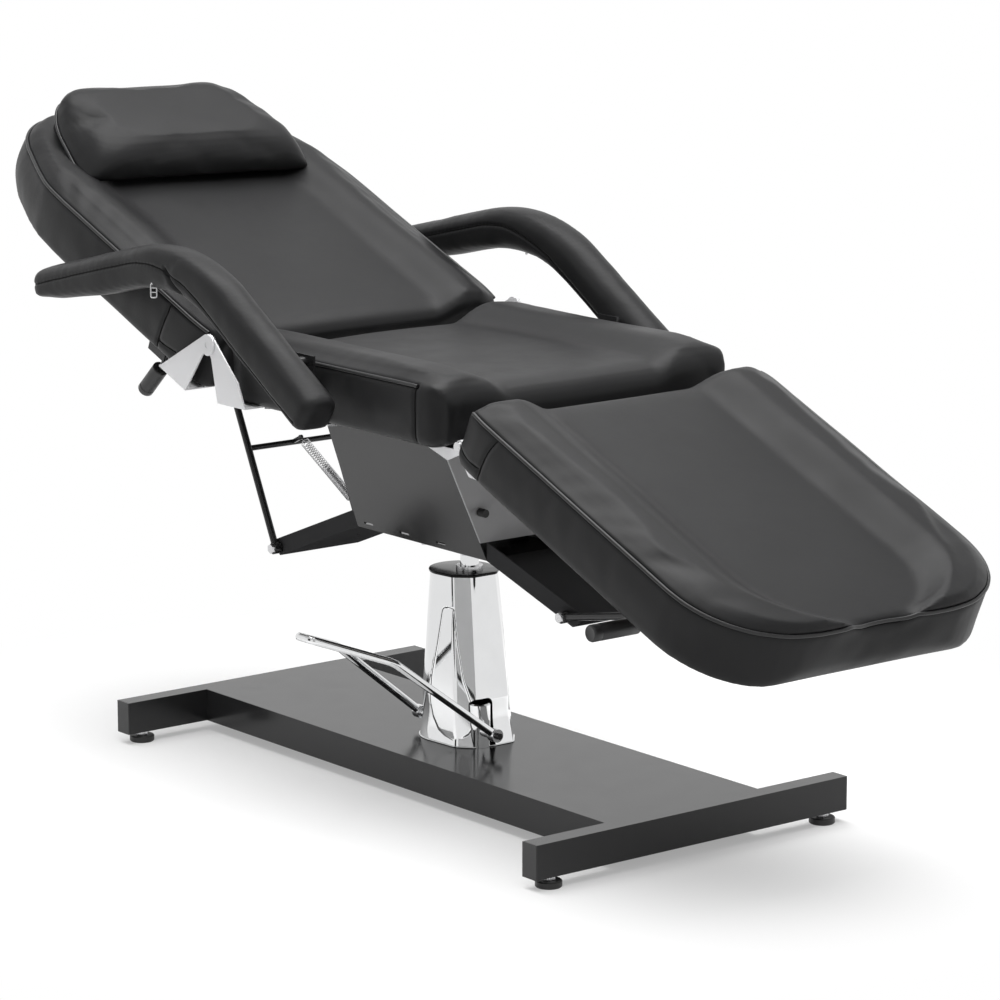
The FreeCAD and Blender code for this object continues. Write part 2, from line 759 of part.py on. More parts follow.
def hub():
    """Swivel hub: a plate bolted on the frame with the ram's socket above it."""
    plate_z = "(frame_z + frame_plate)"
    roof = "(%s + ram_length + soft_gap + hub_roof)" % RAM_Z
    half = "hub_plate_size / 2"
    plate = box("hub_square", ("-" + half, half), ("-" + half, half), (plate_z, plate_z + " + hub_plate"))
    barrel = rod("hub_barrel", "hub_radius", "%s - %s" % (roof, plate_z), ("0", "0", plate_z))
    socket = rod("hub_socket", "ram_radius + running_fit", "%s - hub_roof - %s + overrun" % (roof, plate_z),
                 ("0", "0", plate_z + " - overrun"))
    holes = [rod("hub_hole_" + name, "bolt_radius + bolt_fit", "hub_plate + 2 * overrun",
                 (x, y, plate_z + " - overrun")) for name, x, y in hubBolts()]
    node("mounting_plate", [cut("hub_cut", fuse("hub_body", [plate, barrel]), [socket] + holes)])
    bolts = []
    for name, x, y in hubBolts():
        bolts.append(bolt("hub_bolt_" + name, x, y, plate_z + " + hub_plate", "up",
                          "hub_plate + frame_plate + 2 * bolt_head_height"))
        nut = hexagon("hub_nut_" + name, "bolt_head_radius", "bolt_head_height",
                      (x, y, "frame_z - bolt_head_height"))
        bore = rod("hub_nut_bore_" + name, "bolt_radius", "bolt_head_height + 2 * overrun",
                   (x, y, "frame_z - bolt_head_height - overrun"))
        bolts.append(cut("hub_nut_cut_" + name, nut, [bore]))
    node("mounting_bolts", bolts)


def hubBolts():
    """Places of the four bolts that hold the hub on the frame."""
    x = "hub_bolt_x"
    y = "hub_bolt_y"
    return [("a", "-" + x, "-" + y), ("b", x, "-" + y), ("c", x, y), ("d", "-" + x, y)]


def frameBolts(sign):
    """Places of the bolts from one flange of the frame up into the seat board."""
    x = "%s * (frame_half_top + frame_flange / 2)" % sign
    first = "(frame_flange - frame_front_top)"
    last = "(frame_rear_top - frame_flange)"
    return [(x, first), (x, "(%s + %s) / 2" % (first, last)), (x, last)]


def frameSides():
    """Two flared side plates, each bent from one sheet with a flange under the seat."""
    for name, sign in SIDES.items():
        section = [("frame_half_bottom - frame_plate", "frame_z"), ("frame_half_bottom", "frame_z"),
                   ("frame_half_top", "seat_z - frame_plate"),
                   ("frame_half_top + frame_flange", "seat_z - frame_plate"),
                   ("frame_half_top + frame_flange", "seat_z"), ("frame_half_top - frame_plate", "seat_z")]
        section = [("%s * (%s)" % (sign, x), z) for x, z in section]
        sheet_bend = prism("side_section_" + name, "XZ_Plane", section, "-frame_front_bottom - overrun",
                           "frame_rear_bottom + overrun")
        side = [("-frame_front_bottom", "frame_z"), ("frame_rear_bottom", "frame_z"),
                ("frame_rear_top", "seat_z"), ("-frame_front_top", "seat_z")]
        view = prism("side_view_" + name, "YZ_Plane", side, "-frame_half_top - frame_flange",
                     "frame_half_top + frame_flange")
        plate = common("side_plate_" + name, sheet_bend, view)
        tools = []
        for number in range(SLOT_COUNT):
            y = "(slot_first_y + slot_pitch * %d)" % number
            low = "frame_z + slot_rise"
            wide = ("frame_half_bottom - overrun", "frame_half_bottom + 2 * overrun")
            wide = wide if sign == "1" else ("-(%s)" % wide[1], "-(%s)" % wide[0])
            tools.append(box("side_slot_%s_%d" % (name, number), wide,
                             (y + " - slot_length / 2", y + " + slot_length / 2"),
                             (low, low + " + slot_height")))
        for number, (x, y) in enumerate(frameBolts(sign)):
            tools.append(rod("side_hole_%s_%d" % (name, number), "bolt_radius + bolt_fit",
                             "frame_plate + 2 * overrun", (x, y, "seat_z - frame_plate - overrun")))
        node("frame_side_" + name, [cut("side_cut_" + name, plate, tools)])


def frameChannel():
    """Floor of the frame between the side plates, with the ram's hole."""
    half = "(frame_half_bottom - frame_plate)"
    floor = box("channel_floor", ("-" + half, half), ("-frame_front_bottom", "frame_rear_bottom"),
                ("frame_z", "frame_z + frame_plate"))
    tools = [rod("channel_eye", "ram_radius + plate_gap", "frame_plate + 2 * overrun",
                 ("0", "0", "frame_z - overrun"))]
    tools += [rod("channel_hole_" + name, "bolt_radius + bolt_fit", "frame_plate + 2 * overrun",
                  (x, y, "frame_z - overrun")) for name, x, y in hubBolts()]
    node("frame_channel", [cut("channel_cut", floor, tools)])


def frameArm(label, way, start, reach, drop, pivot_y, pivot_z):
    """A sloping channel, open above, that carries one prop at its end."""
    def at(run, rise):
        return ("%s * (%s + %s)" % (way, start, run),
                "frame_z - %s * (%s) / %s + %s" % (drop, run, reach, rise))
    outer = [at("0", "0"), at("0", "arm_depth"), at(reach, "arm_depth"), at(reach, "arm_nose"),
             at("(%s - arm_nose)" % reach, "0")]
    inner = [at("-overrun", "frame_plate"), at("-overrun", "arm_depth + overrun"),
             at("(%s + overrun)" % reach, "arm_depth + overrun"),
             at("(%s + overrun)" % reach, "frame_plate")]
    half = "frame_half_bottom"
    solid = prism(label + "_outer", "YZ_Plane", outer, "-" + half, half)
    space = prism(label + "_inner", "YZ_Plane", inner, "-%s + frame_plate" % half, half + " - frame_plate")
    hole = rod(label + "_hole", "bolt_radius + bolt_fit", "2 * (%s + overrun)" % half,
               ("-%s - overrun" % half, pivot_y, pivot_z), "x")
    return cut(label + "_cut", solid, [space, hole])


def frameArms():
    """The front arm carries the leg prop, the rear one the back prop and its spring."""
    front = frameArm("arm_front", "-1", "frame_front_bottom", "front_arm_reach", "front_arm_drop",
                     "-leg_prop_y", "leg_prop_z")
    node("frame_arm_front", [front])
    rear = frameArm("arm_rear", "1", "frame_rear_bottom", "rear_arm_reach", "rear_arm_drop",
                    "back_prop_y", "back_prop_z")
    floor_z = "(frame_z - rear_arm_drop * (anchor_y - frame_rear_bottom) / rear_arm_reach)"
    post = box("anchor_post", ("-lug_thick / 2", "lug_thick / 2"),
               ("anchor_y - anchor_post", "anchor_y"), (floor_z + " + frame_plate / 2", "anchor_z"))
    pin = rod("anchor_pin", "lug_radius", "lug_thick", ("-lug_thick / 2", "anchor_y", "anchor_z"), "x")
    node("frame_arm_rear", [fuse("arm_rear_body", [rear, post, pin])])


def frontEdge(z):
    """Distance of the side plates' front edge from the pump's axis at a height."""
    return "(frame_front_bottom - (frame_front_bottom - frame_front_top) * (%s - frame_z)" \
           " / (seat_z - frame_z))" % z


def halfWidth(z):
    """Half width over the side plates at a height."""
    return "(frame_half_bottom + (frame_half_top - frame_half_bottom) * (%s - frame_z)" \
           " / (seat_z - frame_plate - frame_z))" % z


def crossPlate():
    """Pale steel plate that closes the front of the frame, with two rubber buffers."""
    low = "(frame_z + arm_depth)"
    high = "(seat_z - frame_plate)"
    side = [("-" + frontEdge(low), low), ("-%s - frame_plate" % frontEdge(low), low),
            ("-%s - frame_plate" % frontEdge(high), high), ("-" + frontEdge(high), high)]
    front = [("-" + halfWidth(low), low), (halfWidth(low), low), (halfWidth(high), high),
             ("-" + halfWidth(high), high)]
    slab = prism("cross_side", "YZ_Plane", side, "-frame_half_top", "frame_half_top")
    face = prism("cross_front", "XZ_Plane", front, "-frame_front_bottom - 2 * overrun", "0")
    node("frame_cross_plate", [common("cross_plate", slab, face)])
    y = "-%s - frame_plate" % frontEdge("buffer_z")
    buffers = [rod("buffer_" + name, "buffer_radius", "buffer_length",
                   ("%s * buffer_x" % sign, "%s - overrun / 2 - buffer_length" % y, "buffer_z"), "y")
               for name, sign in SIDES.items()]
    necks = [rod("buffer_neck_" + name, "buffer_radius / 2", "buffer_length",
                 ("%s * buffer_x" % sign, "%s - plate_gap - buffer_length" % y, "buffer_z"), "y")
             for name, sign in SIDES.items()]
    pairs = [fuse("buffer_pair_" + name, [a, b]) for name, a, b in zip(SIDES, buffers, necks)]
    node("leg_buffer", pairs)


def pivotBolts():
    """A bolt at each prop's foot, through the arm's wall and the rod's eye."""
    bolts = []
    eye = "(prop_x + prop_eye_length / 2)"
    for end, y, z in (("front", "-leg_prop_y", "leg_prop_z"), ("rear", "back_prop_y", "back_prop_z")):
        for name, sign in SIDES.items():
            inner = "(frame_half_bottom - frame_plate - bolt_head_height)"
            low, high = (inner, eye) if sign == "1" else ("-" + eye, "-" + inner)
            shank = rod("pivot_shank_%s_%s" % (end, name), "bolt_radius", "(%s) - (%s)" % (high, low),
                        (low, y, z), "x")
            head_low = eye if sign == "1" else "-%s - bolt_head_height" % eye
            nut_low = inner if sign == "1" else "-%s - bolt_head_height" % inner
            head = hexagon("pivot_head_%s_%s" % (end, name), "bolt_head_radius", "bolt_head_height",
                           (head_low, y, z), "x")
            nut = hexagon("pivot_nut_%s_%s" % (end, name), "bolt_head_radius", "bolt_head_height",
                          (nut_low, y, z), "x")
            bolts.append(fuse("pivot_bolt_%s_%s" % (end, name), [shank, head, nut]))
    node("arm_pivot_bolts", bolts)


# Pads and boards

def padRing(half, low, high, crown, bow, y):
    """Section of a cushion: flat below, drawn-in sides, a crowned face."""
    middle = (low + high) / 2
    corners = [vector(-half, y, low), vector(half, y, low), vector(half, y, high), vector(-half, y, high)]
    return Part.Wire([
        Part.makeLine(corners[0], corners[1]),
        Part.Arc(corners[1], vector(half - bow, y, middle), corners[2]).toShape(),
        Part.Arc(corners[2], vector(0, y, high + crown), corners[3]).toShape(),
        Part.Arc(corners[3], vector(bow - half, y, middle), corners[0]).toShape()])


def bolsterRing(half, low, high, bow, y):
    """Section of the leg rest: a raised bolster down each side and a dish between."""
    middle = (low + high) / 2
    width, rise, sink = size("bolster_width"), size("bolster_rise"), size("dish_sink")
    inner = half - width
    foot = high - sink / 2
    points = [vector(-half, y, low), vector(half, y, low), vector(half, y, high), vector(inner, y, foot),
              vector(-inner, y, foot), vector(-half, y, high)]
    return Part.Wire([
        Part.makeLine(points[0], points[1]),
        Part.Arc(points[1], vector(half - bow, y, middle), points[2]).toShape(),
        Part.Arc(points[2], vector(half - width / 2, y, high + rise), points[3]).toShape(),
        Part.Arc(points[3], vector(0, y, high - sink), points[4]).toShape(),
        Part.Arc(points[4], vector(width / 2 - half, y, high + rise), points[5]).toShape(),
        Part.Arc(points[5], vector(bow - half, y, middle), points[0]).toShape()])


def cushion(shares, start, length, half, low, thick, ring):
    """Loft a cushion through the sections of its plan."""
    rings = [ring(half * wide, low, low + thick * tall, start + length * along)
             for along, wide, tall in shares]
    return Part.makeLoft(rings, True, True)


def plainRing(half, low, high, y):
    """Section of the seat and back cushions."""
    return padRing(half, low, high, size("pad_crown"), size("pad_bow"), y)


def legRing(half, low, high, y):
    """Section of the leg cushion."""
    return bolsterRing(half, low, high, size("pad_bow"), y)


def pillowRing(half, low, high, y):
    """Section of the pillow, bulging on its sides."""
    return padRing(half, low, high, size("pillow_bulge"), -size("pillow_bulge"), y)


def boardPlan(half, first, last, first_cut, last_cut, grow):
    """Plan of a plywood board: a rectangle with its corners cut off."""
    wide = "(%s + %s)" % (half, grow)
    low = "(%s - %s)" % (first, grow)
    high = "(%s + %s)" % (last, grow)
    right = [(wide, "%s + %s" % (low, first_cut)), (wide, "%s - %s" % (high, last_cut)),
             ("%s - %s" % (wide, last_cut), high)]
    left = [("-" + x if x == wide else "-(%s)" % x, y) for x, y in right[::-1]]
    start = [("-(%s - %s)" % (wide, first_cut), low), ("%s - %s" % (wide, first_cut), low)]
    return start + right + left


def boards():
    """For each padded rest: its board's plan, and the height of its underside."""
    return {
        "seat": (("seat_half_width - board_inset", "-seat_front + board_inset", "seat_rear - board_inset",
                  "seat_board_corner", "board_inset"), "seat_z"),
        "back": (("back_half_width - board_inset", "back_start + board_inset",
                  "back_start + back_length - back_board_end", "board_inset", "back_board_corner"),
                 "back_top - back_thick"),
        "leg": (("leg_half_width - board_inset", "-leg_start - leg_length + board_inset",
                 "-leg_start - board_inset", "leg_board_corner", "board_inset"), "-leg_low"),
    }


def paddedRest(name, cushion_shape, bolts):
    """The board with its bolt holes, and the cushion with a pocket that fits it."""
    plan, low = boards()[name]
    board = prism(name + "_board_blank", "XY_Plane", boardPlan(*plan, "0"), low, low + " + board_thick")
    holes = [rod("%s_board_hole_%d" % (name, number), "bolt_radius + bolt_fit", "board_thick + 2 * overrun",
                 (x, y, low + " - overrun")) for number, (x, y) in enumerate(bolts)]
    pocket = prism(name + "_pocket", "XY_Plane", boardPlan(*plan, "soft_gap"), low + " - overrun",
                   low + " + board_thick + soft_gap")
    pad = cut(name + "_pad_cut", feature(name + "_pad_blank", cushion_shape), [pocket])
    return cut(name + "_board_cut", board, holes), pad


def seatBolts():
    """Places of all the bolts in the seat board, and how thick the plate under it is."""
    places = []
    for sign in SIDES.values():
        places += [(x, y, "frame_plate") for x, y in frameBolts(sign)]
        places += [(x, y, "hinge_plate_thick") for x, y in seatHingeBolts(sign)]
        places += [(x, y, "hinge_plate_thick") for x, y in legHingeBolts(sign)]
        places += [(x, y, "frame_plate") for x, y in armrestBolts(sign)]
    return places


def seatHingeBolts(sign):
    """Places of the bolts from one seat hinge plate into the seat board."""
    x = "%s * (hinge_plate_x - hinge_flange * %s)" % (sign, HINGE_FLANGE_SHARE)
    span = "(seat_plate_front - seat_plate_rear)"
    return [(x, "back_hinge_y - seat_plate_front + %s * %s" % (span, share))
            for share in SEAT_HINGE_BOLT_SHARES]


def legHingeBolts(sign):
    """Places of the bolts from one fixed leg plate into the seat board."""
    x = "%s * (leg_plate_x - leg_plate_flange / 2)" % sign
    return [(x, "-seat_front + board_inset + leg_bolt_edge"),
            (x, "-leg_hinge_y + leg_plate_reach - leg_bolt_edge")]


def armrestBolts(sign):
    """Places of the bolts from one armrest's foot into the seat board."""
    x = "%s * (armrest_foot_x - hinge_flange * %s)" % (sign, ARMREST_FLANGE_SHARE)
    return [(x, "armrest_foot_y - armrest_foot_width / 4"),
            (x, "armrest_foot_y + armrest_foot_width / 4")]


def seat():
    """Seat cushion, its board and the bolts in it."""
    shape = cushion(SEAT_PLAN_SHARES, -size("seat_front"), size("seat_front") + size("seat_rear"),
                    size("seat_half_width"), size("seat_z"), size("seat_thick"), plainRing)
    places = seatBolts()
    board, pad = paddedRest("seat", shape, [(x, y) for x, y, plate in places])
    node("seat_board", [board])
    node("seat_pad", [pad])
    node("seat_bolts", [bolt("seat_bolt_%d" % number, x, y, "(seat_z - %s)" % plate, "down",
                             plate + " + bolt_bite") for number, (x, y, plate) in enumerate(places)])


def backPlaces():
    """Places of the bolts in the back board, from its hinge plates, racks and lever."""
    places = []
    for sign in SIDES.values():
        x = "%s * (hinge_plate_x + hinge_plate_thick + plate_gap - hinge_flange * %s)" % (
            sign, HINGE_FLANGE_SHARE)
        span = "(back_plate_end - back_plate_start)"
        places += [(x, "back_plate_start + %s * %s" % (span, share)) for share in BACK_HINGE_BOLT_SHARES]
        foot = "%s * (rack_x + rack_foot / 2)" % sign
        places += [(foot, "back_length * %s" % share) for share in BACK_RACK_BOLT_SHARES]
    places.append(("-back_lever_x", "back_lever_a + bracket_width"))
    return places


def back():
    """Back cushion, its board and bolts, and the pillow on it."""
    shape = cushion(BACK_PLAN_SHARES, size("back_start"), size("back_length"), size("back_half_width"),
                    size("back_top") - size("back_thick"), size("back_thick"), plainRing)
    board, pad = paddedRest("back", shape, backPlaces())
    inBack("back_board", [board])
    inBack("back_pad", [pad])
    inBack("back_bolts", padBolts("back", "back_top - back_thick", backPlaces()))
    low = size("back_top") + size("pad_crown") + size("soft_gap")
    start = size("back_start") + size("back_length") - size("pillow_inset") - size("pillow_length")
    pillow = cushion(PILLOW_SHARES, start, size("pillow_length"), size("pillow_half_width"),
                     low, size("pillow_height") - size("pillow_bulge"), pillowRing)
    inBack("pillow", [feature("pillow_form", pillow)])


def padBolts(name, low, places):
    """Bolts up through a plate into a board."""
    return [bolt("%s_bolt_%d" % (name, number), x, y, "(%s - hinge_plate_thick)" % low, "down",
                 "hinge_plate_thick + bolt_bite") for number, (x, y) in enumerate(places)]


def legPlaces():
    """Places of the bolts in the leg board, from its hinge plates, racks and lever."""
    places = []
    for sign in SIDES.values():
        x = "%s * (leg_plate_x + hinge_plate_thick + plate_gap - leg_plate_flange / 2)" % sign
        places += [(x, "-leg_plate_reach * %s" % share) for share in LEG_HINGE_BOLT_SHARES]
        foot = "%s * (rack_x + rack_foot / 2)" % sign
        places += [(foot, "-leg_length * %s" % share) for share in LEG_RACK_BOLT_SHARES]
    for x in ("leg_lever_inner", "(leg_lever_inner + leg_lever_span)"):
        places.append(("-" + x, "-leg_lever_f - bracket_width"))
    return places


def leg():
    """Leg cushion, its board and the bolts in it."""
    shape = cushion(LEG_PLAN_SHARES, -size("leg_start"), -size("leg_length"), size("leg_half_width"),
                    -size("leg_low"), size("leg_thick"), legRing)
    board, pad = paddedRest("leg", shape, legPlaces())
    inLeg("leg_board", [board])
    inLeg("leg_pad", [pad])
    inLeg("leg_bolts", padBolts("leg", "-leg_low", legPlaces()))


# Hinges

def sidePlate(name, sign, points, x, lobe, thick, holes):
    """A hinge plate standing along the side, with a round lobe about its pin."""
    low, high = (x, "(%s + %s)" % (x, thick)) if sign == "1" else ("-(%s + %s)" % (x, thick), "-(%s)" % x)
    blade = prism(name + "_blade", "YZ_Plane", points, low, high)
    disc = rod(name + "_lobe", lobe, thick, (low, "0", "0"), "x")
    return fuse(name + "_joined", [blade, disc] + holes)


def flange(name, sign, x, y, z, width, thick):
    """The plate's foot, bent inward under the board."""
    wide = ("%s - %s" % (x, width), "%s + %s" % (x, thick))
    wide = wide if sign == "1" else ("-(%s)" % wide[1], "-(%s)" % wide[0])
    return box(name, wide, y, z)


def holesAt(name, places, low):
    """Bolt holes through a plate's foot."""
    return [rod("%s_%d" % (name, number), "bolt_radius + bolt_fit", "hinge_plate_thick + 2 * overrun",
                (x, y, low + " - overrun")) for number, (x, y) in enumerate(places)]


def pinHole(name, radius):
    """The hole for a hinge's pin, across the chair."""
    return rod(name, radius + " + running_fit", "2 * armrest_x", ("-armrest_x", "0", "0"), "x")


def nearPin(shares):
    """Corners of a plate round its pin."""
    return [("hinge_lobe * %s" % y, "hinge_lobe * %s" % z) for y, z in shares]


def seatHingePlates():
    """Fixed plates at the rear of the seat; the back rest turns on their bolts."""
    plates = []
    under = "seat_z - back_hinge_z"
    thick = "hinge_plate_thick"
    for name, sign in SIDES.items():
        points = [("-seat_plate_rear", under + " - " + thick), ("-seat_plate_front", under + " - " + thick),
                  ("-seat_plate_knee_y", "-seat_plate_knee_z")] + nearPin(SEAT_PLATE_SHARES)
        points.append(("-seat_plate_neck_y", "-seat_plate_neck"))
        foot = flange("seat_hinge_foot_" + name, sign, "hinge_plate_x",
                      ("-seat_plate_front", "-seat_plate_rear"),
                      (under + " - " + thick, under), "hinge_flange", thick)
        body = sidePlate("seat_hinge_" + name, sign, points, "hinge_plate_x", "hinge_lobe", thick, [foot])
        places = [(x, "%s - back_hinge_y" % y) for x, y in seatHingeBolts(sign)]
        tools = holesAt("seat_hinge_hole_" + name, places, under + " - " + thick)
        plates.append(cut("seat_hinge_cut_" + name, body,
                          tools + [pinHole("seat_hinge_pin_" + name, "hinge_bolt_radius")]))
    node("seat_hinge_plates", plates, "back_hinge_y", "back_hinge_z")


def backHingePlates():
    """Plates under the back board that turn on the hinge bolts."""
    plates = []
    under = "back_top - back_thick"
    thick = "hinge_plate_thick"
    x = "(hinge_plate_x + hinge_plate_thick + plate_gap)"
    for name, sign in SIDES.items():
        points = [("back_plate_start", under + " - " + thick), ("back_plate_end", under + " - " + thick),
                  *nearPin(BACK_PLATE_SHARES), ("back_plate_neck_y", "-back_plate_neck")]
        foot = flange("back_hinge_foot_" + name, sign, x, ("back_plate_start", "back_plate_end"),
                      (under + " - " + thick, under), "hinge_flange", thick)
        body = sidePlate("back_hinge_" + name, sign, points, x, "hinge_lobe", thick, [foot])
        places = backPlaces()[:2] if sign == "-1" else backPlaces()[4:6]
        tools = holesAt("back_hinge_hole_" + name, places, under + " - " + thick)
        plates.append(cut("back_hinge_cut_" + name, body,
                          tools + [pinHole("back_hinge_pin_" + name, "hinge_bolt_radius")]))
    inBack("back_hinge_plates", plates)


def hingeBolts():
    """The two bolts that the back rest turns on."""
    bolts = []
    inner = "(hinge_plate_x - hinge_head_height)"
    outer = "(hinge_plate_x + 2 * hinge_plate_thick + 2 * plate_gap)"
    for name, sign in SIDES.items():
        low, high = (inner, outer) if sign == "1" else ("-" + outer, "-" + inner)
        shank = rod("hinge_shank_" + name, "hinge_bolt_radius", "(%s) - (%s)" % (high, low),
                    (low, "0", "0"), "x")
        nut = hexagon("hinge_nut_" + name, "hinge_head_radius", "hinge_head_height",
                      (inner if sign == "1" else "-(hinge_plate_x)", "0", "0"), "x")
        head_low = outer if sign == "1" else "-%s - hinge_head_height" % outer
        head = rod("hinge_head_" + name, "hinge_head_radius", "hinge_head_height",
                   (head_low, "0", "0"), "x")
        bolts.append(fuse("hinge_bolt_" + name, [shank, nut, head]))
    node("hinge_bolts", bolts, "back_hinge_y", "back_hinge_z")


def legFixedPlate(name, sign):
    """Plate under the front of the seat that carries one pin of the leg rest."""
    thick = "hinge_plate_thick"
    under = "(seat_z - leg_hinge_z)"
    y, z = ("leg_lobe * %s" % share for share in LEG_PLATE_SHARES)
    points = [("-" + y, z),
              ("leg_plate_reach * leg_plate_knee", under + " - leg_plate_drop * leg_plate_sag"),
              ("leg_plate_reach", under + " - " + thick), ("leg_plate_reach", under),
              ("leg_lobe", under), ("0", "0")]
    foot = flange("leg_fixed_foot_" + name, sign, "leg_plate_x",
                  ("leg_plate_reach * leg_plate_heel", "leg_plate_reach"),
                  (under + " - " + thick, under), "leg_plate_flange", thick)
    body = sidePlate("leg_fixed_" + name, sign, points, "leg_plate_x", "leg_lobe", thick, [foot])
    places = [(x, "%s + leg_hinge_y" % y) for x, y in legHingeBolts(sign)]
    tools = holesAt("leg_fixed_hole_" + name, places, under + " - " + thick)
    return cut("leg_fixed_cut_" + name, body, tools + [pinHole("leg_fixed_pin_" + name, "bolt_radius")])


def legTurningPlate(name, sign):
    """Plate under the leg board that turns on one pin."""
    thick = "hinge_plate_thick"
    under = "(-leg_low)"
    y, z = ("leg_lobe * %s" % share for share in LEG_PLATE_SHARES)
    points = [(y, z), ("0", "0"), ("-leg_lobe", under), ("-leg_plate_reach", under),
              ("-leg_plate_reach", under + " - " + thick),
              ("-leg_plate_reach * leg_plate_knee", under + " - leg_plate_drop * leg_plate_sag")]
    foot = flange("leg_turning_foot_" + name, sign, LEG_OUTER_X,
                  ("-leg_plate_reach", "-leg_plate_reach * leg_plate_heel"),
                  (under + " - " + thick, under), "leg_plate_flange", thick)
    body = sidePlate("leg_turning_" + name, sign, points, LEG_OUTER_X, "leg_lobe", thick, [foot])
    places = legPlaces()[:2] if sign == "-1" else legPlaces()[4:6]
    tools = holesAt("leg_turning_hole_" + name, places, under + " - " + thick)
    return cut("leg_turning_cut_" + name, body, tools + [pinHole("leg_turning_pin_" + name, "bolt_radius")])


def legPin(name, sign):
    """The bolt that joins the two leg plates of one side."""
    inner = "(leg_plate_x - bolt_head_height)"
    far = "(%s + hinge_plate_thick + plate_gap)" % LEG_OUTER_X
    low, high = (inner, far) if sign == "1" else ("-" + far, "-" + inner)
    shank = rod("leg_pin_shank_" + name, "bolt_radius", "(%s) - (%s)" % (high, low), (low, "0", "0"), "x")
    nut = hexagon("leg_pin_nut_" + name, "bolt_head_radius", "bolt_head_height",
                  (inner if sign == "1" else "-(leg_plate_x)", "0", "0"), "x")
    head_low = far if sign == "1" else "-%s - bolt_head_height" % far
    head = rod("leg_pin_head_" + name, "bolt_head_radius", "bolt_head_height", (head_low, "0", "0"), "x")
    return fuse("leg_pin_" + name, [shank, nut, head])


def legHinges():
    """Plates and pins that the leg rest turns on, under the front of the seat."""
    sides = SIDES.items()
    node("leg_hinge_seat_plates", [legFixedPlate(*side) for side in sides], "-leg_hinge_y", "leg_hinge_z")
    inLeg("leg_hinge_plates", [legTurningPlate(*side) for side in sides])
    node("leg_hinge_pins", [legPin(*side) for side in sides], "-leg_hinge_y", "leg_hinge_z")


# Props, racks and spring

def prop(label, way, length, bar_at):
    """Two rods on eyes, joined by a bar at the far end and, on the back, one midway."""
    solids = []
    bores = []
    for name, sign in SIDES.items():
        eye_low = "%s * prop_x - prop_eye_length / 2" % sign
        solids.append(rod("%s_eye_%s" % (label, name), "prop_eye_radius", "prop_eye_length",
                          (eye_low, "0", "0"), "x"))
        start = "0" if way == "1" else "-" + length
        solids.append(rod("%s_rod_%s" % (label, name), "prop_radius", length,
                          ("%s * prop_x" % sign, start, "0"), "y"))
        bores.append(rod("%s_bore_%s" % (label, name), "bolt_radius + running_fit",
                         "prop_eye_length + 2 * overrun", (eye_low + " - overrun", "0", "0"), "x"))
    half = "(rack_x - rack_thick / 2 - prop_side_gap)"
    solids.append(rod(label + "_end_bar", "prop_end_radius", "2 * " + half,
                      ("-" + half, "%s * %s" % (way, length), "0"), "x"))
    if bar_at:
        solids.append(rod(label + "_mid_bar", "prop_bar_radius", "2 * prop_x",
                          ("-prop_x", bar_at, "0"), "x"))
        solids.append(box(label + "_lug", ("-lug_thick / 2", "lug_thick / 2"),
                          ("%s - lug_waist / 2" % bar_at, "%s + lug_waist / 2" % bar_at),
                          ("0", "lug_length")))
        solids.append(rod(label + "_lug_pin", "lug_radius", "lug_thick",
                          ("-lug_thick / 2", bar_at, "lug_length"), "x"))
    return cut(label + "_cut", fuse(label + "_body", solids), bores)


def props():
    """The two props, one under the back rest and one under the leg rest."""
    node("back_prop", [prop("back_prop", "1", "back_prop_length", "back_prop_bar")],
         "back_prop_y", "back_prop_z", "back_prop_angle")
    node("leg_prop", [prop("leg_prop", "-1", "leg_prop_length", None)],
         "-leg_prop_y", "leg_prop_z", "-leg_prop_angle")


def rack(label, shares, way, length, drop, under):
    """Toothless side plates of the ratchet: a curved rim that follows the prop's bar."""
    rim = [("%s * %s * %s" % (way, length, along), "%s - %s * %s" % (under, drop, deep))
           for along, deep in shares]
    top = [(rim[-1][0], under), (rim[0][0], under)]
    plates = []
    for name, sign in SIDES.items():
        low = "(%s * rack_x - rack_thick / 2)" % sign
        blade = prism("%s_blade_%s" % (label, name), "YZ_Plane", rim + top, low, low + " + rack_thick")
        wide = ("rack_x - rack_thick / 2", "rack_x + rack_foot")
        wide = wide if sign == "1" else ("-(%s)" % wide[1], "-(%s)" % wide[0])
        foot = box("%s_foot_%s" % (label, name), wide, (top[0][0], top[1][0]),
                   (under + " - hinge_plate_thick", under))
        plates.append(fuse("%s_plate_%s" % (label, name), [blade, foot]))
    return plates


def racks():
    """The side plates under both boards."""
    under = "(back_top - back_thick)"
    plates = rack("back_rack", BACK_RACK_SHARES, "1", "back_length", "back_prop_length", under)
    pairs = (backPlaces()[2:4], backPlaces()[6:8])
    inBack("back_racks", [cut(plate.Name + "_cut", plate, holesAt(plate.Name + "_hole", places,
                                                                 under + " - hinge_plate_thick"))
                          for plate, places in zip(plates, pairs)])
    under = "(-leg_low)"
    plates = rack("leg_rack", LEG_RACK_SHARES, "-1", "leg_length", "leg_prop_length", under)
    pairs = (legPlaces()[2:4], legPlaces()[6:8])
    inLeg("leg_racks", [cut(plate.Name + "_cut", plate, holesAt(plate.Name + "_hole", places,
                                                               under + " - hinge_plate_thick"))
                        for plate, places in zip(plates, pairs)])


def biarc(a, from_a, b, to_b):
    """Two tangent arcs from one point and direction to another."""
    chord = b - a
    tangents = from_a + to_b
    square = 2 * (from_a.dot(to_b) - 1)
    linear = -2 * chord.dot(tangents)
    constant = chord.dot(chord)
    if abs(square) < NEARLY_NONE:
        reach = -constant / linear
    else:
        reach = (-linear - math.sqrt(linear * linear - 4 * square * constant)) / (2 * square)
    joint = (a + from_a * reach + b - to_b * reach) * 0.5
    across = (b - to_b * reach) - (a + from_a * reach)
    return [tangentArc(a, from_a, joint), tangentArc(joint, across.normalize(), b)]


